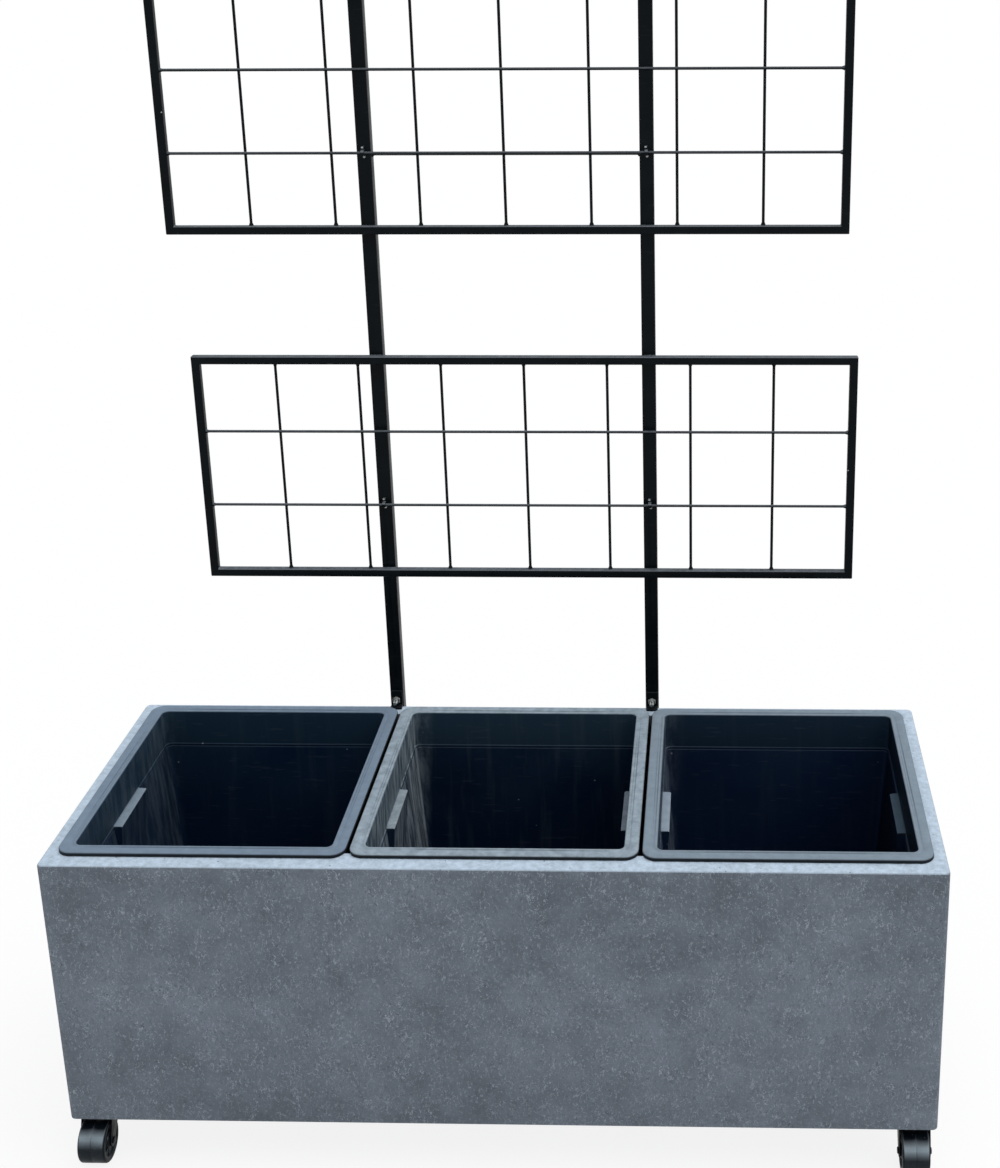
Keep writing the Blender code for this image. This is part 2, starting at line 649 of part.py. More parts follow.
def make_trellis():
    for side in POST_X:
        make_post(side)
        make_cap(side)
        make_bracket(side)
        for level, drop in zip(("upper", "lower"), WALL_BOLT_DROPS):
            make_wall_bolt(side, level, drop)
    for level in PANELS:
        make_panel(level)
    z = RIM_Z + PANELS["upper"][0] + PANEL_HEIGHT / ROWS - TIE_BELOW_WIRE
    inner = POST_SIZE / 2 + GAP
    bar("tie_rod", (POST_X["left"] + inner, POST_Y, z), (POST_X["right"] - inner, POST_Y, z),
        TIE_RADIUS, BLACK_STEEL, TIE_SWELL)


# Casters

def fork_leg_outline(top):
    """Side view of a leg: flat under the web, round about the axle. Y and height from the axle."""
    points = [(CASTER_TRAIL + FORK_REAR - FORK_CORNER, top),
              (CASTER_TRAIL - FORK_FRONT + FORK_CORNER, top)]
    points += [(FORK_END * math.cos(a), FORK_END * math.sin(a)) for a in
               [math.radians(170 + 20 * i) for i in range(10)]]
    return points


def make_caster(name, x, y):
    """Plate with its screws and kingpin, swivelling fork, axle and wheel."""
    plate_top = BOX_BOTTOM - GAP
    plate_under = plate_top - PLATE_METAL
    race_under = plate_under - RACE_HEIGHT
    web_top = race_under - GAP
    web_under = web_top - FORK_METAL
    pin_head_top = web_under - GAP

    plate = place(f"caster_plate_{name}", block(f"caster_plate_{name}",
                  (PLATE_SIZE, PLATE_SIZE, PLATE_METAL), corner=PLATE_CORNER), CASTER_STEEL,
                  (x, y, plate_top - PLATE_METAL / 2))
    overlap = PLATE_METAL / 2
    race = turned(f"race_{name}", [
        (0, plate_under + overlap), (RACE_RADIUS - RACE_EDGE, plate_under + overlap),
        (RACE_RADIUS, plate_under - RACE_EDGE), (RACE_RADIUS - RACE_EDGE, race_under),
        (KINGPIN_RADIUS, race_under), (KINGPIN_RADIUS, pin_head_top),
        (KINGPIN_HEAD_RADIUS, pin_head_top),
        (KINGPIN_HEAD_RADIUS - RACE_EDGE, pin_head_top - KINGPIN_HEAD),
        (0, pin_head_top - KINGPIN_HEAD)], None, steps=16)
    race.location = (x, y, 0)
    boolean(plate, race, "UNION")
    screws = plate_screws(x, y)
    head_z = plate_under - PLATE_SCREW_HEAD_HEIGHT / 2
    add(plate, rods(f"plate_screw_heads_{name}", [(a, b, head_z + JOIN) for a, b in screws],
                    PLATE_SCREW_HEAD, PLATE_SCREW_HEAD_HEIGHT, segments=6))
    shank = PLATE_SCREW_LENGTH + PLATE_METAL / 2
    shank_z = plate_top + PLATE_SCREW_LENGTH - shank / 2
    add(plate, rods(f"plate_screw_shanks_{name}", [(a, b, shank_z) for a, b in screws],
                    PLATE_SCREW_RADIUS, shank, segments=6))

    swivel = axis_empty(f"swivel_axis_{name}", (x, y, 0))
    leg_inner = WHEEL_WIDTH / 2 + FORK_PLAY
    leg_outer = leg_inner + FORK_METAL
    web_length = FORK_FRONT + FORK_REAR
    web_centre = (0, (FORK_REAR - FORK_FRONT) / 2, web_top - FORK_METAL / 2)
    fork = place(f"caster_fork_{name}", block(f"caster_fork_{name}",
                 (2 * (leg_outer + FORK_WEB_PAST), web_length, FORK_METAL), web_centre,
                 corner=FORK_CORNER), CASTER_STEEL)
    fork.parent = swivel
    axle_y = -CASTER_TRAIL
    for side, sign in (("left", -1), ("right", 1)):
        leg = place(f"fork_leg_{side}_{name}", outline(
            f"fork_leg_{side}_{name}", [fork_leg_outline(web_top - FORK_METAL / 2 - WHEEL_RADIUS)],
            FORK_METAL, SIDE_VIEW), location=(sign * (leg_inner + FORK_METAL / 2), axle_y, WHEEL_RADIUS))
        leg.parent = swivel
        boolean(fork, leg, "UNION")
    hole = place(f"kingpin_hole_{name}", rods(f"kingpin_hole_{name}", [(0, 0, web_top)],
                 KINGPIN_RADIUS + BOLT_PLAY, 6 * FORK_METAL, segments=16))
    axle_hole = place(f"axle_hole_{name}", rods(f"axle_hole_{name}",
                      [(0, axle_y, WHEEL_RADIUS)], AXLE_RADIUS + BOLT_PLAY, 4 * leg_outer, "X"))
    for tool in (hole, axle_hole):
        tool.parent = swivel
        boolean(fork, tool, "DIFFERENCE")

    spin = axis_empty(f"wheel_axis_{name}", (0, axle_y, WHEEL_RADIUS), swivel)
    face = leg_outer + GAP
    end = face + AXLE_HEAD
    axle = turned(f"caster_axle_{name}", [
        (0, end), (AXLE_HEAD_RADIUS - AXLE_EDGE, end), (AXLE_HEAD_RADIUS, face),
        (AXLE_RADIUS, face), (AXLE_RADIUS, -face), (AXLE_HEAD_RADIUS, -face),
        (AXLE_HEAD_RADIUS - AXLE_EDGE, -end), (0, -end)], CASTER_STEEL, steps=12)
    wheel = turned(f"caster_wheel_{name}", wheel_profile(), WHEEL_RUBBER, closed=True, steps=24)
    for piece in (axle, wheel):
        piece.rotation_euler = (0, math.pi / 2, 0)
        piece.parent = spin


def wheel_profile():
    """Half section of the wheel about its axle, from the bore's upper end round the tread."""
    half = WHEEL_WIDTH / 2
    hub = half + FORK_PLAY - GAP
    bore = AXLE_RADIUS + BOLT_PLAY
    corner = WHEEL_RADIUS - WHEEL_SHOULDER
    shoulder = [(corner + WHEEL_SHOULDER * math.sin(math.radians(a)),
                 half - WHEEL_SHOULDER + WHEEL_SHOULDER * math.cos(math.radians(a)))
                for a in (0, 45, 90)]
    upper = [(bore, hub), (HUB_RADIUS - HUB_SLOPE, hub), (HUB_RADIUS, half - FACE_RECESS),
             (RIM_RADIUS, half - FACE_RECESS), (RIM_RADIUS + FACE_SLOPE, half)] + shoulder
    return upper + [(r, -z) for r, z in reversed(upper)]


make_trough()
make_rim_ledge()
make_liners()
make_trellis()
for caster_name, (caster_x, caster_y) in caster_places().items():
    make_caster(caster_name, caster_x, caster_y)
bpy.context.view_layer.update()
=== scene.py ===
import json
import math
import random

import bmesh
import bpy
from mathutils import Matrix, Vector
from mathutils import noise as lumps

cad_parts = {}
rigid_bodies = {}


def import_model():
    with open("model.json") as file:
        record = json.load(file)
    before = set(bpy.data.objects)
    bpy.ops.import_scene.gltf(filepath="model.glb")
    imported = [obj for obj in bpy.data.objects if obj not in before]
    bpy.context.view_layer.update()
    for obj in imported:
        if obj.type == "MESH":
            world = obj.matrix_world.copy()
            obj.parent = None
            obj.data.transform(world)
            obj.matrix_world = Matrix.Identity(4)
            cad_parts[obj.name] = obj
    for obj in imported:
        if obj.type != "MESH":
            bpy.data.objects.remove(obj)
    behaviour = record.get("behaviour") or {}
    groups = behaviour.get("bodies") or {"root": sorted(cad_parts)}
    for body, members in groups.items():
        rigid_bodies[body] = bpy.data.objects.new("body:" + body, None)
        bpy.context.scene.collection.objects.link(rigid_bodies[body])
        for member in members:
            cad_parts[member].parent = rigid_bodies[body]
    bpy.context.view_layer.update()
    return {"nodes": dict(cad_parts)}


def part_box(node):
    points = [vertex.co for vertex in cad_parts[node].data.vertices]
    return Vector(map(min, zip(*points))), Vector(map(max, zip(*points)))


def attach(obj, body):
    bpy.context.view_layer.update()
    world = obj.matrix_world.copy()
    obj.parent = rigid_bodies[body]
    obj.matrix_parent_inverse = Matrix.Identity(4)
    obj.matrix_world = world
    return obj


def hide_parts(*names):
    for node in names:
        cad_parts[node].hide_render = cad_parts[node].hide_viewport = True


for leftover in list(bpy.data.objects):
    bpy.data.objects.remove(leftover)

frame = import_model()
nodes = frame["nodes"]
print("frame loaded:", len(nodes), "pieces of the planter")


# Small tools for shader trees

def put(tree, kind, sockets=None, **settings):
    made = tree.nodes.new(kind)
    for name, value in settings.items():
        setattr(made, name, value)
    for name, value in (sockets or {}).items():
        if isinstance(value, bpy.types.NodeSocket):
            tree.links.new(value, made.inputs[name])
        else:
            made.inputs[name].default_value = value
    return made


def calc(tree, operation, first, second=0.0, clamp=False):
    return put(tree, "ShaderNodeMath", {0: first, 1: second},
               operation=operation, use_clamp=clamp).outputs[0]


def product(tree, first, *factors):
    for factor in factors:
        first = calc(tree, "MULTIPLY", first, factor)
    return first


def distance(tree, value, level):
    return calc(tree, "ABSOLUTE", calc(tree, "SUBTRACT", value, level))


def spread(tree, value, low, high, toLow=0.0, toHigh=1.0):
    return put(tree, "ShaderNodeMapRange", {"Value": value, "From Min": low, "From Max": high,
                                            "To Min": toLow, "To Max": toHigh}).outputs["Result"]


def parts(tree, vector):
    return put(tree, "ShaderNodeSeparateXYZ", {"Vector": vector}).outputs


def normalParts(tree):
    return parts(tree, put(tree, "ShaderNodeNewGeometry").outputs["Normal"])


def turnedPlace(tree, where, **settings):
    return put(tree, "ShaderNodeMapping", {"Vector": where, **settings}).outputs[0]


def blendTone(tree, share, under, over):
    made = put(tree, "ShaderNodeMix", data_type="RGBA")
    for index, value in ((0, share), (6, under), (7, over)):
        if isinstance(value, bpy.types.NodeSocket):
            tree.links.new(value, made.inputs[index])
        elif index:
            made.inputs[index].default_value = (*value[:3], 1.0)
        else:
            made.inputs[index].default_value = value
    return made.outputs[2]


def cloud(tree, where, scale, detail, rough):
    return put(tree, "ShaderNodeTexNoise", {"Vector": where, "Scale": scale, "Detail": detail,
                                            "Roughness": rough}).outputs["Fac"]


def newGroup(name, inputs, outputs):
    tree = bpy.data.node_groups.new(name, "ShaderNodeTree")
    kinds = {"f": "NodeSocketFloat", "c": "NodeSocketColor", "v": "NodeSocketVector"}
    for label, kind, value in inputs:
        socket = tree.interface.new_socket(label, in_out="INPUT", socket_type=kinds[kind])
        if kind == "f":
            socket.default_value = value
        elif kind == "c":
            socket.default_value = (*value, 1.0)
    for label, kind in outputs:
        tree.interface.new_socket(label, in_out="OUTPUT", socket_type=kinds[kind])
    return tree, tree.nodes.new("NodeGroupInput").outputs, tree.nodes.new("NodeGroupOutput").inputs


def use(tree, group, **sockets):
    made = tree.nodes.new("ShaderNodeGroup")
    made.node_tree = group
    for name, value in sockets.items():
        socket = made.inputs[name]
        if isinstance(value, bpy.types.NodeSocket):
            tree.links.new(value, socket)
        elif socket.type == "RGBA":
            socket.default_value = (*value[:3], 1.0)
        else:
            socket.default_value = value
    return made.outputs


def newLook(name, roughness=0.5, metallic=0.0, specular=0.5):
    look = bpy.data.materials.new(name)
    look.use_nodes = True
    tree = look.node_tree
    shader = tree.nodes["Principled BSDF"]
    shader.inputs["Roughness"].default_value = roughness
    shader.inputs["Metallic"].default_value = metallic
    shader.inputs["Specular IOR Level"].default_value = specular
    where = put(tree, "ShaderNodeTexCoord").outputs["Object"]
    return look, tree, shader, where


def finishLook(tree, shader, colour, roughness, height, depth, strength):
    bump = put(tree, "ShaderNodeBump", {"Height": height, "Distance": depth, "Strength": strength})
    tree.links.new(colour, shader.inputs["Base Color"])
    tree.links.new(roughness, shader.inputs["Roughness"])
    tree.links.new(bump.outputs[0], shader.inputs["Normal"])


# Effects that several finishes share

def makeGrain():
    tree, given, out = newGroup("fineGrain", [("Where", "v", None), ("Scale", "f", 500.0)],
                                [("Height", "f")])
    coarse = cloud(tree, given["Where"], given["Scale"], 2.0, 0.6)
    fine = cloud(tree, given["Where"], product(tree, given["Scale"], 3.7), 1.0, 0.5)
    both = calc(tree, "ADD", product(tree, coarse, 0.65), product(tree, fine, 0.35))
    tree.links.new(both, out["Height"])
    return tree


def makeSpecks():
    tree, given, out = newGroup(
        "scatteredSpecks",
        [("Where", "v", None), ("Colour", "c", (0, 0, 0)), ("Speck", "c", (1, 1, 1)),
         ("Cells", "f", 200.0), ("Size", "f", 0.3), ("Share", "f", 0.3), ("Strength", "f", 0.5)],
        [("Colour", "c"), ("Mask", "f")])
    cells = put(tree, "ShaderNodeTexVoronoi", {"Vector": given["Where"], "Scale": given["Cells"]})
    pick = put(tree, "ShaderNodeSeparateColor", {"Color": cells.outputs["Color"]})
    chosen = calc(tree, "LESS_THAN", pick.outputs[0], given["Share"])
    size = product(tree, given["Size"], calc(tree, "ADD", pick.outputs[1], 0.35))
    shape = spread(tree, cells.outputs["Distance"], size, product(tree, size, 0.55))
    mask = product(tree, chosen, shape, given["Strength"])
    tree.links.new(blendTone(tree, mask, given["Colour"], given["Speck"]), out["Colour"])
    tree.links.new(mask, out["Mask"])
    return tree


# dust that settles on upward faces; on the liners' flanges and on the trellis its colour also
# stands for painted sheen and top light
def makeDust():
    tree, given, out = newGroup(
        "settledDust",
        [("Where", "v", None), ("Colour", "c", (0, 0, 0)), ("Dust", "c", (0.4, 0.4, 0.4)),
         ("Amount", "f", 0.3), ("Scale", "f", 20.0), ("Settle", "f", 1.0), ("Thinnest", "f", 0.35)],
        [("Colour", "c"), ("Mask", "f")])
    upward = spread(tree, normalParts(tree)["Z"], 0.25, 0.95)
    kept = calc(tree, "SUBTRACT", 1.0, given["Settle"])
    place = calc(tree, "ADD", kept, product(tree, upward, given["Settle"]))
    uneven = spread(tree, cloud(tree, given["Where"], given["Scale"], 6.0, 0.65), 0.3, 0.66,
                    given["Thinnest"], 1.0)
    mask = calc(tree, "MULTIPLY", product(tree, place, uneven), given["Amount"], clamp=True)
    tree.links.new(blendTone(tree, mask, given["Colour"], given["Dust"]), out["Colour"])
    tree.links.new(mask, out["Mask"])
    return tree


def makeEdgeRub():
    tree, given, out = newGroup(
        "rubbedEdges", [("Where", "v", None), ("Radius", "f", 0.002), ("Scale", "f", 60.0),
                        ("Amount", "f", 0.5)], [("Mask", "f")])
    rounded = put(tree, "ShaderNodeBevel", {"Radius": given["Radius"]}, samples=6)
    straight = put(tree, "ShaderNodeNewGeometry").outputs["True Normal"]
    same = put(tree, "ShaderNodeVectorMath", {0: rounded.outputs[0], 1: straight},
               operation="DOT_PRODUCT")
    edge = spread(tree, same.outputs["Value"], 0.995, 0.86)
    patchy = spread(tree, cloud(tree, given["Where"], given["Scale"], 5.0, 0.7), 0.42, 0.62)
    mask = calc(tree, "MULTIPLY", product(tree, edge, patchy), given["Amount"], clamp=True)
    tree.links.new(mask, out["Mask"])
    return tree


def makeScuffs():
    tree, given, out = newGroup(
        "lightScuffs", [("Where", "v", None), ("Scale", "f", 30.0), ("Amount", "f", 0.3)],
        [("Mask", "f")])
    lines = []
    for turn in ((0.3, 0.5, 0.9), (1.2, 0.2, -0.7)):
        turned = turnedPlace(tree, given["Where"], Rotation=turn, Scale=(1.0, 26.0, 9.0))
        lines.append(spread(tree, cloud(tree, turned, given["Scale"], 2.0, 0.5), 0.66, 0.72))
    mask = calc(tree, "MULTIPLY", calc(tree, "MAXIMUM", *lines), given["Amount"], clamp=True)
    tree.links.new(mask, out["Mask"])
    return tree


fineGrain = makeGrain()
specks = makeSpecks()
dustAndSheen = makeDust()
edgeRub = makeEdgeRub()
scuffs = makeScuffs()
print("shared effects built")


# Rounding and smoothing of the frame's own pieces, and tools for new ones

smoothing = {
    "mergeWithin": 0.00002,
    "bevelSegments": 2,
    "bevelFrom": 30,     # degrees
    "sharpFrom": 38,     # degrees
}


def makeSmoother():
    tree = bpy.data.node_groups.new("smoothUpToAngle", "GeometryNodeTree")
    for side in ("INPUT", "OUTPUT"):
        tree.interface.new_socket("Geometry", in_out=side, socket_type="NodeSocketGeometry")
    start = tree.nodes.new("NodeGroupInput").outputs[0]
    plain = put(tree, "GeometryNodeRemoveAttribute",
                {"Geometry": start, "Name": "custom_normal"}).outputs[0]
    faces = put(tree, "GeometryNodeSetShadeSmooth", {"Geometry": plain}, domain="FACE").outputs[0]
    edges = put(tree, "GeometryNodeSetShadeSmooth", {"Geometry": faces}, domain="EDGE").outputs[0]
    bend = put(tree, "GeometryNodeInputMeshEdgeAngle").outputs[0]
    hard = put(tree, "FunctionNodeCompare", {0: bend, 1: math.radians(smoothing["sharpFrom"])},
               operation="GREATER_THAN").outputs[0]
    crisp = put(tree, "GeometryNodeSetShadeSmooth",
                {"Geometry": edges, "Selection": hard, "Shade Smooth": False}, domain="EDGE")
    tree.links.new(crisp.outputs[0], tree.nodes.new("NodeGroupOutput").inputs[0])
    return tree


smoother = makeSmoother()


def smoothOut(piece):
    smooth = piece.modifiers.new("smooth", "NODES")
    smooth.node_group = smoother


def soften(piece, width):
    merged = piece.modifiers.new("weld", "WELD")
    merged.merge_threshold = smoothing["mergeWithin"]
    if width:
        edge = piece.modifiers.new("edge", "BEVEL")
        edge.width = width
        edge.segments = smoothing["bevelSegments"]
        edge.limit_method = "ANGLE"
        edge.angle_limit = math.radians(smoothing["bevelFrom"])
    smoothOut(piece)


def paint(name, look):
    nodes[name].data.materials.clear()
    nodes[name].data.materials.append(look)


def asPiece(name, bm, look, body, slotName, *stoodFor):
    mesh = bpy.data.meshes.new(name)
    bmesh.ops.recalc_face_normals(bm, faces=bm.faces)
    bm.to_mesh(mesh)
    bm.free()
    mesh.materials.append(look)
    for face in mesh.polygons:
        face.use_smooth = True
    piece = bpy.data.objects.new(name, mesh)
    bpy.context.scene.collection.objects.link(piece)
    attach(piece, body)
    if stoodFor:
        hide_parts(*stoodFor)
    return piece


# joins the second mesh to the piece, or cuts it out of the piece
def combine(piece, other, operation):
    mesh = bpy.data.meshes.new("helper")
    other.to_mesh(mesh)
    other.free()
    helper = bpy.data.objects.new("helper", mesh)
    bpy.context.scene.collection.objects.link(helper)
    change = piece.modifiers.new("change", "BOOLEAN")
    change.operation = operation
    change.object = helper
    change.solver = "EXACT"
    graph = bpy.context.evaluated_depsgraph_get()
    made = bpy.data.meshes.new_from_object(piece.evaluated_get(graph))
    piece.modifiers.clear()
    piece.data = made
    bpy.data.objects.remove(helper)


def skin(bm, rings):
    for lower, upper in zip(rings, rings[1:]):
        for i in range(len(lower)):
            following = (i + 1) % len(lower)
            bm.faces.new((lower[i], lower[following], upper[following], upper[i]))


# Trough of fibre and stone

stone = {
    "dark": (0.102, 0.120, 0.145),
    "light": (0.187, 0.217, 0.261),
    "fleck": (0.42, 0.47, 0.53),
    "paleFleck": (0.55, 0.60, 0.65),
    "pit": (0.066, 0.078, 0.094),
    "crumb": (0.07, 0.075, 0.08),
    "wornEdge": (0.48, 0.54, 0.60),
    "rimDust": (0.52, 0.63, 0.75),
    "rimAmount": 1.0,
    "patchScale": 4.2,
    "mottleScale": 21.0,
    "clusterScale": 26.0,
    "grainScale": 620.0,
    "lightThreads": 0.54,
    "darkThreads": 0.80,
    "washHeight": 0.275,     # the walls are a little paler about this height
    "overlap": 0.0006,       # each side of the ledge grows by this, into the walls
    "flatWithin": 0.5,       # degrees
    "rounding": 0.0012,
}


def curls(tree, where, shift, scale, width, broken):
    moved = turnedPlace(tree, where, Location=shift, Scale=(1.0, 1.0, 0.62))
    level = distance(tree, cloud(tree, moved, scale, 1.5, 0.5), 0.5)
    pieces = spread(tree, cloud(tree, moved, scale * 0.9, 1.0, 0.5), broken, broken + 0.06)
    return product(tree, spread(tree, level, width, width * 0.35), pieces)


def makeStoneLook():
    look, tree, shader, where = newLook("fibreStone", specular=0.35)
    patches = cloud(tree, where, stone["patchScale"], 4.0, 0.55)
    mottle = cloud(tree, where, stone["mottleScale"], 6.0, 0.68)
    tone = calc(tree, "ADD", product(tree, patches, 0.42), product(tree, mottle, 0.58))
    fromWash = distance(tree, parts(tree, where)["Z"], stone["washHeight"])
    tone = calc(tree, "ADD", tone, spread(tree, fromWash, 0.19, 0.03, -0.035, 0.035))
    colour = blendTone(tree, spread(tree, tone, 0.36, 0.64), stone["dark"], stone["light"])
    grain = use(tree, fineGrain, Where=where, Scale=stone["grainScale"])["Height"]
    colour = blendTone(tree, spread(tree, grain, 0.35, 0.65, 0.0, 0.30), colour, stone["pit"])
    # short bent threads, light and dark, thicker in some clusters than in others
    gathered = cloud(tree, where, stone["clusterScale"], 3.0, 0.6)
    clusters = spread(tree, gathered, 0.36, 0.64, 0.25, 1.0)
    light = calc(tree, "MAXIMUM", curls(tree, where, (0.0, 0.0, 0.0), 185.0, 0.030, 0.51),
                 curls(tree, where, (3.1, 1.7, 0.9), 250.0, 0.036, 0.52))
    dark = curls(tree, where, (7.3, 2.2, 5.1), 215.0, 0.036, 0.50)
    lightShare = product(tree, light, clusters, stone["lightThreads"])
    darkShare = product(tree, dark, clusters, stone["darkThreads"])
    colour = blendTone(tree, lightShare, colour, stone["fleck"])
    colour = blendTone(tree, darkShare, colour, stone["pit"])
    # flecks, pits, pale dust on the rim and dark crumbs in it
    small = use(tree, specks, Where=where, Colour=colour, Speck=stone["fleck"], Cells=420.0,
                Size=0.42, Share=0.10, Strength=0.25)
    large = use(tree, specks, Where=where, Colour=small["Colour"], Speck=stone["paleFleck"],
                Cells=130.0, Size=0.16, Share=0.05, Strength=0.60)
    pits = use(tree, specks, Where=where, Colour=large["Colour"], Speck=stone["pit"], Cells=230.0,
               Size=0.40, Share=0.14, Strength=0.40)
    topped = use(tree, dustAndSheen, Where=where, Colour=pits["Colour"], Dust=stone["rimDust"],
                 Amount=stone["rimAmount"], Scale=120.0, Settle=1.0, Thinnest=0.56)
    worn = use(tree, edgeRub, Where=where, Radius=0.005, Scale=90.0, Amount=0.55)["Mask"]
    colour = blendTone(tree, worn, topped["Colour"], stone["wornEdge"])
    crumbs = use(tree, specks, Where=where, Colour=colour, Speck=stone["crumb"], Cells=260.0,
                 Size=0.30, Share=0.05, Strength=0.7)
    roughness = spread(tree, mottle, 0.3, 0.7, 0.72, 0.90)
    raised = calc(tree, "ADD", product(tree, grain, 0.8), product(tree, light, 0.30))
    sunk = product(tree, calc(tree, "MAXIMUM", pits["Mask"], dark), 0.5)
    height = calc(tree, "SUBTRACT", raised, sunk)
    finishLook(tree, shader, crumbs["Colour"], roughness, height, 0.0006, 0.6)
    return look


def copyOf(name):
    mesh = nodes[name].data.copy()
    mesh.transform(nodes[name].matrix_world)
    bm = bmesh.new()
    bm.from_mesh(mesh)
    bpy.data.meshes.remove(mesh)
    bmesh.ops.remove_doubles(bm, verts=bm.verts, dist=smoothing["mergeWithin"])
    return bm


# walls and ledge are one casting, so both are joined without a seam
def makeTrough():
    ledge = copyOf("rim_ledge")
    low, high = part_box("rim_ledge")
    middle = (low + high) / 2
    for vert in ledge.verts:
        for axis in (0, 1):
            grown = 1.0 + 2 * stone["overlap"] / (high[axis] - low[axis])
            vert.co[axis] = middle[axis] + (vert.co[axis] - middle[axis]) * grown
    piece = asPiece("trough", copyOf("planter_box"), makeStoneLook(), "planter", "stone_composite",
                    "planter_box", "rim_ledge")
    combine(piece, ledge, "UNION")
    clean = bmesh.new()
    clean.from_mesh(piece.data)
    bmesh.ops.dissolve_limit(clean, angle_limit=math.radians(stone["flatWithin"]),
                             verts=clean.verts, edges=clean.edges)
    clean.to_mesh(piece.data)
    clean.free()
    soften(piece, stone["rounding"])


makeTrough()
print("trough finished")


# Liners of dark plastic

liner = {
    "wall": 0.003,
    "flange": 0.020,
    "flangeHeight": 0.0058,
    "flangeCorner": 0.020,
    "flangeEdge": 0.0020,
    "flangeLift": 0.0003,    # the flange ends this far above the trough's rim
    "mouthCorner": 0.009,
    "groovePlace": 0.0060,
    "grooveWidth": 0.0020,
    "grooveSlope": 0.0015,
    "grooveDepth": 0.0012,
    "grooveCorner": 0.015,
    "stepDrop": 0.050,
    "stepWidth": 0.0015,
    "stepEdge": 0.0010,
    "stepFall": 0.0003,
    "stepThicker": 0.0005,   # the wall is thicker by this under the step
    "stepSlip": 0.0030,      # the step slopes this far down beside the ledges
    "taper": 0.022,
    "floorBend": 0.010,
    "holdLength": 0.106,
    "holdDepth": 0.0105,
    "holdHeight": 0.072,
    "holdDraft": 0.002,
    "drainInset": 0.070,
    "drainRadius": 0.005,
    "drainSegments": 20,
    "cutterHeight": 0.02,
    "cornerSteps": 8,
    "bow": 0.0012,
    "bowPlaces": (0.2, 0.35, 0.5, 0.65, 0.8),
    "plainDark": (0.0100, 0.0128, 0.0160),
    "plainLight": (0.0160, 0.0196, 0.0240),
    "shaded": (0.0008, 0.0020, 0.0060),
    "washed": (0.13, 0.15, 0.17),
    "speck": (0.30, 0.32, 0.33),
    "rubbed": (0.24, 0.27, 0.31),
    "scuffed": (0.20, 0.22, 0.25),
    "mostDust": 0.97,
    "leastDust": 0.03,
}
# inside each liner: upper and lower are the walls' colours with painted shade in them, near-black
# and bluish, paler above the step; the flange colour is dust with painted sheen; the chalk colour
# is chalk with painted light on the left end wall, which faces the light; the ledge colours are
# dust with painted light, the far ledge's darker as painted shade
linerDust = {
    "left": {
        "flangeDust": (0.185, 0.245, 0.320), "even": 0.80, "streaks": 0.05,
        "chalkAndLight": 0.24, "chalkAndLightColour": (0.150, 0.200, 0.250),
        "ledge": (0.230, 0.290, 0.350), "farLedgeShaded": (0.100, 0.135, 0.180),
        "upper": (0.0096, 0.0260, 0.0480), "lower": (0.0030, 0.0116, 0.0330),
    },
    "middle": {
        "flangeDust": (0.325, 0.395, 0.455), "even": 0.55, "streaks": 0.12,
        "chalkAndLight": 0.92, "chalkAndLightColour": (0.250, 0.300, 0.335),
        "ledge": (0.310, 0.365, 0.400), "farLedgeShaded": (0.200, 0.240, 0.290),
        "upper": (0.0148, 0.0330, 0.0550), "lower": (0.0022, 0.0098, 0.0280),
    },
    "right": {
        "flangeDust": (0.225, 0.280, 0.335), "even": 0.80, "streaks": 0.04,
        "chalkAndLight": 0.52, "chalkAndLightColour": (0.170, 0.205, 0.240),
        "ledge": (0.290, 0.350, 0.420), "farLedgeShaded": (0.060, 0.095, 0.130),
        "upper": (0.0104, 0.0248, 0.0470), "lower": (0.0044, 0.0130, 0.0390),
    },
}


def chalkAndLightShare(tree, where, facing, step, corner):
    place = parts(tree, where)
    slanted = turnedPlace(tree, where, Rotation=(0.45, 0.0, 0.0), Scale=(40.0, 105.0, 14.0))
    strokes = spread(tree, cloud(tree, slanted, 1.0, 5.0, 0.7), 0.42, 0.60, 0.12, 1.0)
    aside = distance(tree, place["X"], corner.x)
    away = calc(tree, "ADD", product(tree, aside, 1.5), distance(tree, place["Y"], corner.y))
    # the step in the left wall gets the same chalk and painted light as the wall
    fromStep = distance(tree, place["Z"], step)
    onStep = product(tree, spread(tree, aside, 0.006, 0.004), spread(tree, fromStep, 0.004, 0.002))
    leftWall = calc(tree, "MAXIMUM", spread(tree, facing, 0.75, 0.98), onStep)
    leftWall = product(tree, leftWall, spread(tree, away, 0.15, 0.04, 0.75, 1.25))
    wiped = calc(tree, "MAXIMUM", leftWall, spread(tree, away, 0.045, 0.014, 0.0, 0.45))
    return product(tree, strokes, wiped)


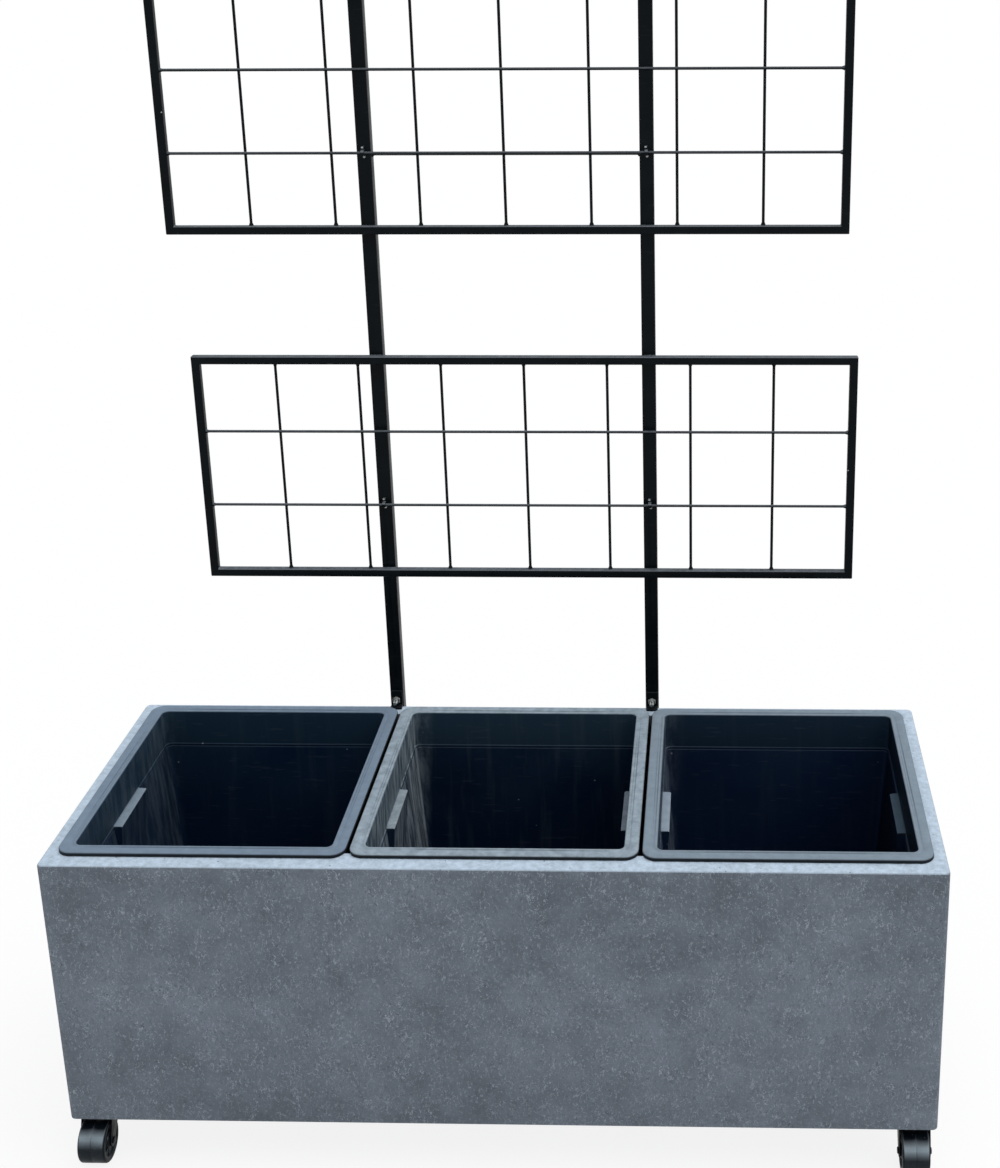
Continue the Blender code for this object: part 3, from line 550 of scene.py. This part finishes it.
def makeLinerLook(name, values, middle, top, corner):
    look, tree, shader, where = newLook("linerPlastic_" + name, specular=0.08)
    shade = cloud(tree, where, 9.0, 4.0, 0.6)
    place = parts(tree, where)
    normal = normalParts(tree)
    # inside, the walls are painted with shade, near-black and bluish as in skylit shadow, paler
    # above the step than below it
    step = top - liner["flangeHeight"] - liner["stepDrop"]
    above = spread(tree, place["Z"], step - 0.002, step - 0.0005)
    rising = spread(tree, place["Z"], step - 0.16, step, 0.0, 0.45)
    patchy = product(tree, rising, spread(tree, shade, 0.35, 0.65))
    colour = blendTone(tree, calc(tree, "MAXIMUM", above, patchy), values["lower"], values["upper"])
    runs = cloud(tree, turnedPlace(tree, where, Scale=(60.0, 60.0, 3.0)), 1.0, 4.0, 0.6)
    streaks = product(tree, spread(tree, runs, 0.52, 0.74), values["streaks"])
    colour = blendTone(tree, streaks, colour, liner["washed"])
    # the left end wall, which faces the light, is paler with chalk and painted light, most of all
    # by its rear corner, and wiped in slanting strokes
    chalkAndLit = chalkAndLightShare(tree, where, normal["X"], step, corner)
    chalkAndLitShare = calc(tree, "MULTIPLY", chalkAndLit, values["chalkAndLight"], clamp=True)
    colour = blendTone(tree, chalkAndLitShare, colour, values["chalkAndLightColour"])
    # the right end wall, turned from the light, is the darkest: painted shade
    rightWall = spread(tree, normal["X"], -0.75, -0.98, 0.0, 0.85)
    colour = blendTone(tree, rightWall, colour, liner["shaded"])
    # outside, where the walls face away from the liner's middle, the plastic shows its own plain
    # colour, without the painted shade, streaks and chalk of the inside
    lengthways = calc(tree, "SUBTRACT", place["X"], middle.x)
    sideways = calc(tree, "SUBTRACT", place["Y"], middle.y)
    outward = calc(tree, "ADD", product(tree, normal["X"], lengthways),
                   product(tree, normal["Y"], sideways))
    evenShade = spread(tree, shade, 0.3, 0.7)
    plain = blendTone(tree, evenShade, liner["plainDark"], liner["plainLight"])
    colour = blendTone(tree, spread(tree, outward, 0.01, 0.04), colour, plain)
    specked = use(tree, specks, Where=where, Colour=colour, Speck=liner["speck"], Cells=75.0,
                  Size=0.13, Share=0.025, Strength=0.6)
    # the flange carries dust with painted sheen; the ledges over the finger pockets carry dust with
    # painted light, the far ledge darker as painted shade, and the step beside them hardly any
    below = spread(tree, place["Z"], top - 0.030, top - 0.035)
    farSide = spread(tree, place["X"], middle.x - 0.02, middle.x + 0.02)
    ledgeDust = blendTone(tree, farSide, values["ledge"], values["farLedgeShaded"])
    dustAndLightColour = blendTone(tree, below, values["flangeDust"], ledgeDust)
    reach = liner["holdLength"] / 2
    onHold = spread(tree, distance(tree, place["Y"], middle.y), reach + 0.001, reach - 0.001)
    besideHold = calc(tree, "SUBTRACT", liner["mostDust"] - liner["leastDust"], onHold)
    bare = calc(tree, "MULTIPLY", below, besideHold, clamp=True)
    film = use(tree, dustAndSheen, Where=where, Colour=specked["Colour"], Dust=dustAndLightColour,
               Amount=calc(tree, "SUBTRACT", liner["mostDust"], bare), Scale=70.0, Settle=1.0,
               Thinnest=values["even"])
    rub = use(tree, edgeRub, Where=where, Radius=0.0016, Scale=120.0, Amount=0.45)["Mask"]
    rub = product(tree, rub, calc(tree, "SUBTRACT", 1.0, product(tree, below, 0.96)))
    colour = blendTone(tree, rub, film["Colour"], liner["rubbed"])
    marks = use(tree, scuffs, Where=where, Scale=22.0, Amount=0.05)["Mask"]
    colour = blendTone(tree, marks, colour, liner["scuffed"])
    grain = use(tree, fineGrain, Where=where, Scale=900.0)["Height"]
    roughness = calc(tree, "ADD", spread(tree, shade, 0.3, 0.7, 0.40, 0.56),
                     product(tree, film["Mask"], 0.2))
    finishLook(tree, shader, colour, roughness, grain, 0.0003, 0.35)
    return look


# one turn round the liner, each point with a mark of 1 where it belongs to a ledge
def linerTurn(halfX, halfY, radius, ledge, reach, bow):
    steps = liner["cornerSteps"]
    draft = liner["holdDraft"]
    points = []
    for quarter in range(4):
        sx = 1 if quarter in (0, 3) else -1
        sy = 1 if quarter in (0, 1) else -1
        for step in range(steps + 1):
            angle = math.radians(90 * quarter + 90 * step / steps)
            points.append((sx * (halfX - radius) + radius * math.cos(angle),
                           sy * (halfY - radius) + radius * math.sin(angle), 0.0))
        if quarter in (0, 2):    # long walls bow in a little between the corners
            for share in liner["bowPlaces"]:
                along = (halfX - radius) * (1 - 2 * share)
                inward = bow * math.sin(math.pi * share)
                points.append((sx * along, sy * (halfY - inward), 0.0))
        else:
            ledgePoints = [(0.0, -reach - draft), (ledge, -reach), (ledge, 0.0), (ledge, reach),
                           (0.0, reach + draft)]
            for inward, along in ledgePoints:
                onLedge = 1.0 if abs(along) <= reach else 0.0
                ahead = along if quarter == 3 else -along
                points.append((sx * (halfX - inward), ahead, onLedge))
    return points


def arc(inset, z, radius, start, end, steps):
    turns = [math.radians(start + (end - start) * i / steps) for i in range(steps + 1)]
    return [(inset + radius * math.cos(a), z + radius * math.sin(a)) for a in turns]


# rows of the section: inset from the mouth, height from the rim, corner radius, ledge and bow
def linerRows(depth):
    size = liner
    top = size["flangeHeight"]
    edge = size["flangeEdge"]
    wall = size["wall"]
    bend = size["floorBend"]
    step = -size["stepDrop"]
    grooveBottom = top - size["grooveDepth"]
    grooveFoot = size["grooveWidth"] / 2
    grooveTop = grooveFoot + size["grooveSlope"]
    place = -size["groovePlace"]
    lean = (size["taper"] - size["stepWidth"]) / (depth - size["stepDrop"])
    pocketFoot = size["stepWidth"] + lean * size["holdHeight"]
    corner = size["mouthCorner"]
    under = [
        (-size["flange"] + wall, size["flangeLift"], size["flangeCorner"] - wall, 0, 0),
        (-size["flange"] + wall, top - wall, size["flangeCorner"] - wall, 0, 0),
        (-wall, top - wall, corner + wall, 0, 0),
        (-wall, step - wall, corner + wall, 0, 0.4),
        (size["stepWidth"] - wall, step - size["stepThicker"] - wall, corner + wall,
         size["holdDepth"], 0.5),
        (pocketFoot - wall, step - size["holdHeight"], corner + wall, 0, 1),
        (size["taper"] - wall, -depth + bend, corner + wall, 0, 0.2),
    ]
    under += [(i - wall, z, corner + wall, 0, 0) for i, z in
              arc(size["taper"] + bend, -depth + bend - 0.001, bend + 0.002, 190, 262, 4)]
    over = [(-size["flange"], size["flangeLift"], size["flangeCorner"], 0, 0)]
    over += [(i, z, size["flangeCorner"], 0, 0) for i, z in
             arc(-size["flange"] + edge, top - edge, edge, 180, 90, 4)]
    over += [
        (place - grooveTop, top, size["grooveCorner"], 0, 0),
        (place - grooveFoot, grooveBottom, size["grooveCorner"], 0, 0),
        (place + grooveFoot, grooveBottom, size["grooveCorner"], 0, 0),
        (place + grooveTop, top, size["grooveCorner"], 0, 0),
    ]
    over += [(i, z, corner, 0, 0) for i, z in arc(-edge, top - edge, edge, 90, 0, 4)]
    inner = size["stepWidth"] - size["stepEdge"]
    fallen = step - size["stepFall"]
    over += [
        (0.0, step + size["stepEdge"], corner, 0, 0.35),
        (size["stepEdge"], step, corner, 0, 0.4),
        (inner, fallen, corner, size["holdDepth"] - size["stepEdge"], 0.5),
        (size["stepWidth"], fallen - size["stepEdge"], corner, size["holdDepth"], 0.5),
        (pocketFoot, step - size["holdHeight"], corner, 0, 1),
        (size["taper"], -depth + bend, corner, 0, 0.2),
    ]
    over += [(i, z, corner, 0, 0) for i, z in
             arc(size["taper"] + bend, -depth + bend, bend, 190, 268, 4)]
    return under, over


def drainCutters(middle, halfX, halfY, floor):
    holes = bmesh.new()
    for sx in (-1, 1):
        for sy in (-1, 1):
            at = Matrix.Translation((middle.x + sx * (halfX - liner["drainInset"]),
                                     middle.y + sy * (halfY - liner["drainInset"]), floor))
            bmesh.ops.create_cone(holes, cap_ends=True, segments=liner["drainSegments"],
                                  radius1=liner["drainRadius"], radius2=liner["drainRadius"],
                                  depth=liner["cutterHeight"], matrix=at)
    return holes


def makeLiner(name):
    low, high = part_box("liner_" + name)
    middle = (low + high) / 2
    rim = high.z - liner["flangeHeight"]
    depth = rim - low.z - liner["wall"]
    halfX = (high.x - low.x) / 2 - liner["flange"]
    halfY = (high.y - low.y) / 2 - liner["flange"]
    under, over = linerRows(depth)
    reach = liner["holdLength"] / 2
    bm = bmesh.new()
    rings = []
    for rows, pocketReach in ((under[::-1], reach - liner["wall"]), (over, reach)):
        for inset, z, radius, ledge, bow in rows:
            turn = linerTurn(halfX - inset, halfY - inset, radius, ledge, pocketReach,
                             bow * liner["bow"])
            slip = liner["stepSlip"] if ledge else 0.0
            rings.append([bm.verts.new((middle.x + x, middle.y + y,
                                        rim + z - slip * (1.0 - onLedge)))
                          for x, y, onLedge in turn])
    skin(bm, rings)
    bm.faces.new(rings[0])
    bm.faces.new(rings[-1])
    corner = Vector((middle.x - halfX, middle.y + halfY, rim))
    look = makeLinerLook(name, linerDust[name], middle, high.z, corner)
    piece = asPiece("tub_" + name, bm, look, "liner_" + name, "liner_plastic", "liner_" + name)
    combine(piece, drainCutters(middle, halfX, halfY, rim - depth), "DIFFERENCE")
    smoothOut(piece)


for linerName in ("left", "middle", "right"):
    makeLiner(linerName)
print("liners finished")


# Black steel of the trellis

steel = {
    "paint": (0.0024, 0.0040, 0.0052),
    "worn": (0.010, 0.012, 0.014),
    "scuffed": (0.022, 0.024, 0.026),
    "dustAndSheen": (0.150, 0.172, 0.200),
    "glint": (0.180, 0.195, 0.215),
    "peelScale": 520.0,
    # each of these amounts sets both the dust on upward faces, paled to stand for painted top
    # light, and the painted highlight on rounded upper edges
    "trellisDust": 0.80,
    "weldDust": 0.45,
    "bracketDust": 0.06,
    "rounding": {"post": 0.00045, "panel_frame": 0.0005, "rim_bracket": 0.0003,
                 "wire_clip": 0.0003},
}


def makeSteelLook(name, dustAmount, lumpy=False):
    look, tree, shader, where = newLook(name, specular=0.06)
    shade = cloud(tree, where, 26.0, 4.0, 0.6)
    paler = tuple(1.6 * c for c in steel["paint"])
    colour = blendTone(tree, spread(tree, shade, 0.4, 0.7), steel["paint"], paler)
    rub = use(tree, edgeRub, Where=where, Radius=0.0014, Scale=140.0, Amount=0.6)["Mask"]
    colour = blendTone(tree, rub, colour, steel["worn"])
    marks = use(tree, scuffs, Where=where, Scale=30.0, Amount=0.15)["Mask"]
    colour = blendTone(tree, marks, colour, steel["scuffed"])
    # dust on upward faces; its pale colour also stands for painted top light on the rails and wires
    film = use(tree, dustAndSheen, Where=where, Colour=colour, Dust=steel["dustAndSheen"], Amount=dustAmount,
               Scale=90.0, Settle=0.995)
    # a painted highlight lies along the rounded upper edges, as strong as the dust amount
    slant = distance(tree, normalParts(tree)["Z"], 0.62)
    rounded = spread(tree, slant, 0.34, 0.08, 0.0, dustAmount)
    withEdgeHighlight = blendTone(tree, rounded, film["Colour"], steel["glint"])
    peel = use(tree, fineGrain, Where=where, Scale=steel["peelScale"])["Height"]
    depth = 0.0004
    if lumpy:    # ripples of a weld run under the paint
        ripples = put(tree, "ShaderNodeTexWave", {"Vector": where, "Scale": 160.0,
                                                  "Distortion": 3.0, "Detail": 2.0}).outputs["Fac"]
        peel = calc(tree, "ADD", product(tree, peel, 0.4), ripples)
        depth = 0.0008
    roughness = calc(tree, "ADD", spread(tree, shade, 0.3, 0.7, 0.30, 0.42),
                     product(tree, film["Mask"], 0.35))
    finishLook(tree, shader, withEdgeHighlight, roughness, peel, depth, 0.35)
    return look


blackSteel = makeSteelLook("blackPowderCoat", steel["trellisDust"])
weldSteel = makeSteelLook("paintedWeld", steel["weldDust"], lumpy=True)
bracketSteel = makeSteelLook("bracketPaint", steel["bracketDust"])
trellisStarts = ("post_left", "post_right", "panel_frame", "rim_bracket", "tie_rod", "wire_clip")
for name in nodes:
    if name.startswith(trellisStarts) or "_wire_" in name:
        paint(name, bracketSteel if name.startswith("rim_bracket") else blackSteel)
        widths = [w for start, w in steel["rounding"].items() if name.startswith(start)]
        soften(nodes[name], widths[0] if widths else 0.0)
print("trellis painted")


# Weld beads on the trellis

weld = {
    "wireBead": 0.0031,
    "crossBead": 0.0023,
    "railBead": 0.0042,
    "rodBead": 0.0020,
    "flatter": 0.9,          # share of the radius that a wire's bead has across the wire
    "railShape": (0.75, 0.55, 0.5),
    "railShifts": (-0.006, -0.002, 0.002, 0.006),
    "railInset": 0.12,       # of the tube's width, from its edge to the beads
    "railSink": 0.0012,
    "rodBeads": 6,
    "rodReach": 0.42,        # of the rod's thickness, from its axis to the beads
    "lumpSize": 0.22,
    "lumpScale": 620.0,
    "seed": 7,
}
chance = random.Random(weld["seed"])


def bead(bm, centre, radii):
    turn = Matrix.Rotation(chance.uniform(0, 3.14), 4, "Z")
    size = Matrix.Diagonal((*radii, 1.0))
    made = bmesh.ops.create_icosphere(bm, subdivisions=3, radius=1.0,
                                      matrix=Matrix.Translation(centre) @ size @ turn)
    small = min(radii)
    for vert in made["verts"]:
        away = (vert.co - Vector(centre)).normalized()
        vert.co += away * small * weld["lumpSize"] * lumps.noise(vert.co * weld["lumpScale"])


def makePanelWelds(level):
    low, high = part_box("panel_frame_" + level)
    tube = high.y - low.y
    full = weld["wireBead"]
    flat = full * weld["flatter"]
    bm = bmesh.new()
    crossings = []
    for row in (1, 2):
        start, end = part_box(f"{level}_cross_wire_{row}")
        y, z = (start.y + end.y) / 2, (start.z + end.z) / 2
        crossings.append((y, z))
        for x in (start.x, end.x):
            bead(bm, (x, y, z), (full, flat, flat))
    for column in range(1, 8):
        start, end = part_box(f"{level}_upright_wire_{column}")
        x, y = (start.x + end.x) / 2, (start.y + end.y) / 2
        for z in (start.z, end.z):
            bead(bm, (x, y, z), (flat, flat, full))
        for crossY, z in crossings:
            bead(bm, (x, (crossY + y) / 2, z), (weld["crossBead"],) * 3)
    railRadii = tuple(weld["railBead"] * share for share in weld["railShape"])
    for side in ("left", "right"):
        start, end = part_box("post_" + side)
        inset = tube * weld["railInset"]
        for z in (low.z + inset, high.z - inset):
            for shift in weld["railShifts"]:
                at = ((start.x + end.x) / 2 + shift, start.y - weld["railSink"], z)
                bead(bm, at, railRadii)
    asPiece("panel_welds_" + level, bm, weldSteel, "planter", "black_steel")


def makeRodWelds():
    low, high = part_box("tie_rod")
    bm = bmesh.new()
    y, z = (low.y + high.y) / 2, (low.z + high.z) / 2
    reach = (high.z - low.z) * weld["rodReach"]
    for x in (low.x, high.x):
        for turn in range(weld["rodBeads"]):
            angle = 2 * math.pi * turn / weld["rodBeads"]
            at = (x, y + reach * math.cos(angle), z + reach * math.sin(angle))
            bead(bm, at, (weld["rodBead"],) * 3)
    asPiece("rod_welds", bm, weldSteel, "planter", "black_steel")


for level in ("lower", "upper"):
    makePanelWelds(level)
makeRodWelds()
print("weld beads laid")


# Bolts, caps, and the heads of the clips' screws

zinc = {
    "bright": (0.40, 0.42, 0.42),
    "warm": (0.31, 0.32, 0.28),
    "dull": (0.15, 0.16, 0.17),
    "chip": (0.46, 0.47, 0.48),
    "undersideShade": (0.035, 0.040, 0.042),
    "rounding": 0.0004,
    "clipRise": 0.0065,
    "clipSlant": 0.001,
    "clipProud": 0.0026,     # the clip stands this far out of the post
    "headRadius": 0.0024,
    "headHeight": 0.0012,
    "domeShares": (1.0, 0.92, 0.72, 0.42),
    "chipPlace": 0.88,       # of the tube's width, in from the panel's end
    "chipRadius": 0.0012,
    "chipHeight": 0.0005,
    "chipSink": 0.0002,
}
cap = {"base": (0.009, 0.010, 0.011), "worn": (0.045, 0.047, 0.050), "grainScale": 1100.0,
       "dustAmount": 0.25, "roughness": 0.42, "specular": 0.30, "rounding": 0.0005}


def makeZincLook():
    look, tree, shader, where = newLook("brightZinc", metallic=1.0)
    shade = cloud(tree, where, 210.0, 4.0, 0.6)
    colour = blendTone(tree, spread(tree, shade, 0.4, 0.68), zinc["bright"], zinc["warm"])
    marks = use(tree, scuffs, Where=where, Scale=120.0, Amount=0.6)["Mask"]
    colour = blendTone(tree, marks, colour, zinc["dull"])
    rub = use(tree, edgeRub, Where=where, Radius=0.0007, Scale=300.0, Amount=0.7)["Mask"]
    colour = blendTone(tree, rub, colour, zinc["chip"])
    # undersides are darkened with painted shade
    under = spread(tree, normalParts(tree)["Z"], 0.25, -0.55, 0.0, 0.85)
    colour = blendTone(tree, under, colour, zinc["undersideShade"])
    grain = use(tree, fineGrain, Where=where, Scale=1500.0)["Height"]
    roughness = spread(tree, shade, 0.3, 0.7, 0.24, 0.42)
    finishLook(tree, shader, colour, roughness, grain, 0.0002, 0.25)
    return look


def makePlainBlackLook(name, values):
    look, tree, shader, where = newLook(name, specular=values["specular"])
    shade = cloud(tree, where, 60.0, 4.0, 0.6)
    paler = tuple(1.7 * c for c in values["base"])
    colour = blendTone(tree, spread(tree, shade, 0.35, 0.7), values["base"], paler)
    marks = use(tree, scuffs, Where=where, Scale=70.0, Amount=0.35)["Mask"]
    colour = blendTone(tree, marks, colour, values["worn"])
    rub = use(tree, edgeRub, Where=where, Radius=0.0009, Scale=200.0, Amount=0.5)["Mask"]
    colour = blendTone(tree, rub, colour, values["worn"])
    film = use(tree, dustAndSheen, Where=where, Colour=colour, Dust=(0.20, 0.20, 0.19),
               Amount=values["dustAmount"], Scale=120.0, Settle=0.7)
    grain = use(tree, fineGrain, Where=where, Scale=values["grainScale"])["Height"]
    smoothest = values["roughness"]
    roughness = calc(tree, "ADD", spread(tree, shade, 0.3, 0.7, smoothest, smoothest + 0.12),
                     product(tree, film["Mask"], 0.25))
    finishLook(tree, shader, film["Colour"], roughness, grain, 0.0003, 0.3)
    return look


zincLook = makeZincLook()
capLook = makePlainBlackLook("mouldedCap", cap)
for name in nodes:
    if name.startswith(("wall_bolt", "bracket_bolt")):
        paint(name, zincLook)
        soften(nodes[name], zinc["rounding"])
    if name.startswith("post_cap"):
        paint(name, capLook)
        soften(nodes[name], cap["rounding"])


def dome(bm, centre, across, height, segments=20):
    turns = [2 * math.pi * i / segments for i in range(segments)]
    rings = []
    for share in zinc["domeShares"]:
        rise = height * (1.0 - share * share)
        rings.append([bm.verts.new((centre[0] + across * share * math.cos(a), centre[1] - rise,
                                    centre[2] + across * share * math.sin(a))) for a in turns])
    skin(bm, rings)
    bm.faces.new(rings[0])
    bm.faces.new(rings[-1])


# bare heads on the clips' screws, and a chip in the paint by each panel's vent
def makeScrewHeads():
    bm = bmesh.new()
    for level in ("lower", "upper"):
        wireLow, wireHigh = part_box(f"{level}_cross_wire_1")
        z = (wireLow.z + wireHigh.z) / 2
        for side in ("left", "right"):
            postLow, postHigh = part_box("post_" + side)
            x = (postLow.x + postHigh.x) / 2
            for sign in (-1, 1):
                at = (x - sign * zinc["clipSlant"], postLow.y - zinc["clipProud"],
                      z + sign * zinc["clipRise"])
                dome(bm, at, zinc["headRadius"], zinc["headHeight"])
        low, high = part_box("panel_frame_" + level)
        inset = (high.y - low.y) * zinc["chipPlace"]
        x = low.x + inset if level == "upper" else high.x - inset
        at = (x, low.y + zinc["chipSink"], (low.z + high.z) / 2)
        dome(bm, at, zinc["chipRadius"], zinc["chipHeight"], segments=10)
    asPiece("screw_heads", bm, zincLook, "planter", "zinc_steel")


makeScrewHeads()
print("fixings finished")


# Casters

caster = {
    "tread": (0.0026, 0.0046, 0.0068),
    "treadDust": (0.360, 0.430, 0.480),
    "treadScuff": (0.060, 0.068, 0.078),
    "grit": (0.17, 0.18, 0.20),
    "sideGap": 0.0005,       # the tread's sides stand back this far from the frame's wheel
    "steps": 72,
    "treadCorner": 0.0034,
    "treadDepth": 0.0080,
    "seamHalf": 0.0008,      # low seam round the tread's middle
    "seamDepth": 0.0004,
    "hubRadius": 0.011,
    "boreRadius": 0.0033,
    "dish": 0.0030,          # the web between hub and rim lies this deep
    "ribs": 8,
    "ribSize": (0.0022, 0.0112, 0.0018),
    "ribPlace": 0.0158,      # from the axle
    "ribSink": 0.0026,
    "ribRounding": 0.0005,
    "rounding": {"plate": 0.0005, "fork": 0.0006, "axle": 0.0003},
}
casterSteel = {"base": (0.0012, 0.0019, 0.0027), "worn": (0.0050, 0.0062, 0.0080),
               "grainScale": 700.0, "dustAmount": 0.01, "roughness": 0.34, "specular": 0.06}


def makeTreadLook():
    look, tree, shader, where = newLook("wheelTread", specular=0.07)
    shade = cloud(tree, where, 70.0, 5.0, 0.65)
    paler = tuple(1.9 * c for c in caster["tread"])
    colour = blendTone(tree, spread(tree, shade, 0.35, 0.7), caster["tread"], paler)
    marks = use(tree, scuffs, Where=where, Scale=90.0, Amount=0.30)["Mask"]
    colour = blendTone(tree, marks, colour, caster["treadScuff"])
    # a painted highlight band lies where the tread faces half up, its top, underside and sides stay
    # dark
    facing = normalParts(tree)
    lower = calc(tree, "POWER", spread(tree, facing["Z"], 0.24, 0.62, 0.22, 1.0), 2.0)
    upper = spread(tree, facing["Z"], 0.93, 0.72)
    across = spread(tree, calc(tree, "ABSOLUTE", facing["X"]), 0.75, 0.25)
    uneven = spread(tree, cloud(tree, where, 60.0, 3.0, 0.55), 0.3, 0.7, 0.55, 0.75)
    share = product(tree, lower, upper, product(tree, across, uneven))
    colour = blendTone(tree, share, colour, caster["treadDust"])
    gritty = use(tree, specks, Where=where, Colour=colour, Speck=caster["grit"], Cells=420.0,
                 Size=0.26, Share=0.05, Strength=0.5)
    grain = use(tree, fineGrain, Where=where, Scale=800.0)["Height"]
    roughness = spread(tree, shade, 0.3, 0.7, 0.34, 0.48)
    finishLook(tree, shader, gritty["Colour"], roughness, grain, 0.0002, 0.25)
    return look


# half of the wheel's section, from the bore to the tread's middle
def wheelSection(half, radius):
    corner = caster["treadCorner"]
    rim = radius - caster["treadDepth"]
    hub = caster["hubRadius"]
    web = half - caster["dish"]
    section = [(caster["boreRadius"], half + 0.0004), (hub - 0.003, half + 0.0004),
               (hub - 0.0014, half - 0.0002), (hub, half - 0.0022), (hub + 0.0006, web),
               (rim - 0.0012, web), (rim, half - 0.0022), (rim + 0.0010, half - 0.0004),
               (rim + 0.0020, half)]
    for angle in (math.radians(a) for a in (10, 30, 50, 70, 82)):
        section.append((radius - corner + corner * math.sin(angle),
                        half - corner + corner * math.cos(angle)))
    section += [(radius - 0.0001, half - corner - 0.0016), (radius, half - corner - 0.003)]
    return section + [(radius, caster["seamHalf"]), (radius - caster["seamDepth"], 0.0)]


def addRibs(bm, centre, half):
    for side in (-1, 1):
        offset = Matrix.Translation((side * (half - caster["ribSink"]), caster["ribPlace"], 0))
        for rib in range(caster["ribs"]):
            turn = Matrix.Rotation(2 * math.pi * (rib + 0.5) / caster["ribs"], 4, "X")
            at = Matrix.Translation(centre) @ turn @ offset
            size = Matrix.Diagonal((*caster["ribSize"], 1.0))
            made = bmesh.ops.create_cube(bm, size=1.0, matrix=at @ size)
            edges = list({e for v in made["verts"] for e in v.link_edges})
            bmesh.ops.bevel(bm, geom=edges, offset=caster["ribRounding"], segments=2,
                            affect="EDGES", profile=0.5)


def makeWheel(corner, treadLook):
    node = "caster_wheel_" + corner
    low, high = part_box(node)
    centre = (low + high) / 2
    half = (high.x - low.x) / 2 - caster["sideGap"]
    upper = wheelSection(half, (high.z - low.z) / 2)
    turns = [2 * math.pi * i / caster["steps"] for i in range(caster["steps"])]
    bm = bmesh.new()
    rings = []
    for r, h in upper + [(r, -h) for r, h in reversed(upper[:-1])]:
        rings.append([bm.verts.new((centre.x + h, centre.y + r * math.cos(a),
                                    centre.z + r * math.sin(a))) for a in turns])
    skin(bm, rings + rings[:1])
    addRibs(bm, centre, half)
    piece = asPiece("wheel_" + corner, bm, treadLook, f"caster_{corner}_wheel", "wheel_rubber",
                    node)
    smoothOut(piece)


treadLook = makeTreadLook()
casterLook = makePlainBlackLook("casterSteel", casterSteel)
for corner in ("front_left", "front_right", "rear_left", "rear_right"):
    makeWheel(corner, treadLook)
    for kind, width in caster["rounding"].items():
        paint(f"caster_{kind}_{corner}", casterLook)
        soften(nodes[f"caster_{kind}_{corner}"], width)
print("casters finished")


# Floor, light and camera

room = {
    "floor": (0.90, 0.90, 0.90),
    "floorReach": 60.0,
    "whitened": 0.86,        # share of plain white in what is seen of the floor
    "sky": (0.93, 0.97, 1.0, 1.0),
    "skyStrength": 0.50,
    "sunStrength": 2.1,
    "sunSoftness": 70.0,
    "sunFrom": (0.35, 0.00, 1.0),
}
plainWhite = (1.0, 1.0, 1.0, 1.0)


# rays that see the background, straight or mirrored
def seenRays(tree):
    path = put(tree, "ShaderNodeLightPath").outputs
    mirrored = calc(tree, "MAXIMUM", path["Is Glossy Ray"], path["Is Transmission Ray"])
    return calc(tree, "MAXIMUM", path["Is Camera Ray"], mirrored)


def makeFloor():
    mesh = bpy.data.meshes.new("studio_floor")
    reach = room["floorReach"]
    outline = [(-reach, -reach, 0), (reach, -reach, 0), (reach, reach, 0), (-reach, reach, 0)]
    mesh.from_pydata(outline, [], [(0, 1, 2, 3)])
    floor = bpy.data.objects.new("studio_floor", mesh)
    bpy.context.scene.collection.objects.link(floor)
    look, tree, shader, where = newLook("paleFloor", roughness=0.9, specular=0.1)
    shade = cloud(tree, where, 1.4, 3.0, 0.5)
    colour = blendTone(tree, shade, tuple(0.985 * c for c in room["floor"]), room["floor"])
    tree.links.new(colour, shader.inputs["Base Color"])
    plain = put(tree, "ShaderNodeEmission", {"Color": plainWhite, "Strength": 1.0})
    share = product(tree, seenRays(tree), room["whitened"])
    mixed = put(tree, "ShaderNodeMixShader",
                {0: share, 1: shader.outputs[0], 2: plain.outputs[0]})
    tree.links.new(mixed.outputs[0], tree.nodes["Material Output"].inputs["Surface"])
    mesh.materials.append(look)


def makeLight():
    world = bpy.data.worlds.new("paleSky")
    world.use_nodes = True
    bpy.context.scene.world = world
    tree = world.node_tree
    tree.nodes.clear()
    soft = put(tree, "ShaderNodeBackground", {"Color": room["sky"],
                                              "Strength": room["skyStrength"]})
    white = put(tree, "ShaderNodeBackground", {"Color": plainWhite, "Strength": 1.0})
    mixed = put(tree, "ShaderNodeMixShader",
                {0: seenRays(tree), 1: soft.outputs[0], 2: white.outputs[0]})
    out = put(tree, "ShaderNodeOutputWorld")
    tree.links.new(mixed.outputs[0], out.inputs["Surface"])
    lamp = bpy.data.lights.new("overhead", "SUN")
    lamp.energy = room["sunStrength"]
    lamp.angle = math.radians(room["sunSoftness"])
    holder = bpy.data.objects.new("overhead", lamp)
    holder.rotation_euler = Vector(room["sunFrom"]).to_track_quat("Z", "Y").to_euler()
    bpy.context.scene.collection.objects.link(holder)


view = {
    "place": (0.2890, -2.0908, 1.7002),
    "yaw": 1.5238,           # degrees, as are the next two
    "pitch": -17.3171,
    "roll": 0.3511,
    "lens": 50.6805,         # millimetres, as is the sensor
    "sensor": 36.0,
    "shift": (-0.14589, -0.15535),
    "clipEnd": 200.0,
}


def makeCamera():
    yaw, pitch, roll = (math.radians(view[key]) for key in ("yaw", "pitch", "roll"))
    turn = (Matrix.Rotation(yaw, 3, "Z") @ Matrix.Rotation(pitch, 3, "X")
            @ Matrix.Rotation(roll, 3, "Y"))
    right, ahead, up = (turn.col[i] for i in range(3))
    lens = bpy.data.cameras.new("photo_view")
    lens.sensor_width = view["sensor"]
    lens.lens = view["lens"]
    lens.shift_x, lens.shift_y = view["shift"]
    lens.clip_end = view["clipEnd"]
    camera = bpy.data.objects.new("photo_view", lens)
    pose = Matrix((right, up, -ahead)).transposed().to_4x4()
    pose.translation = view["place"]
    camera.matrix_world = pose
    bpy.context.scene.collection.objects.link(camera)
    bpy.context.scene.camera = camera


makeFloor()
makeLight()
makeCamera()
bpy.context.scene.view_settings.view_transform = "Standard"
print("floor, light and camera set")

bpy.context.view_layer.update()
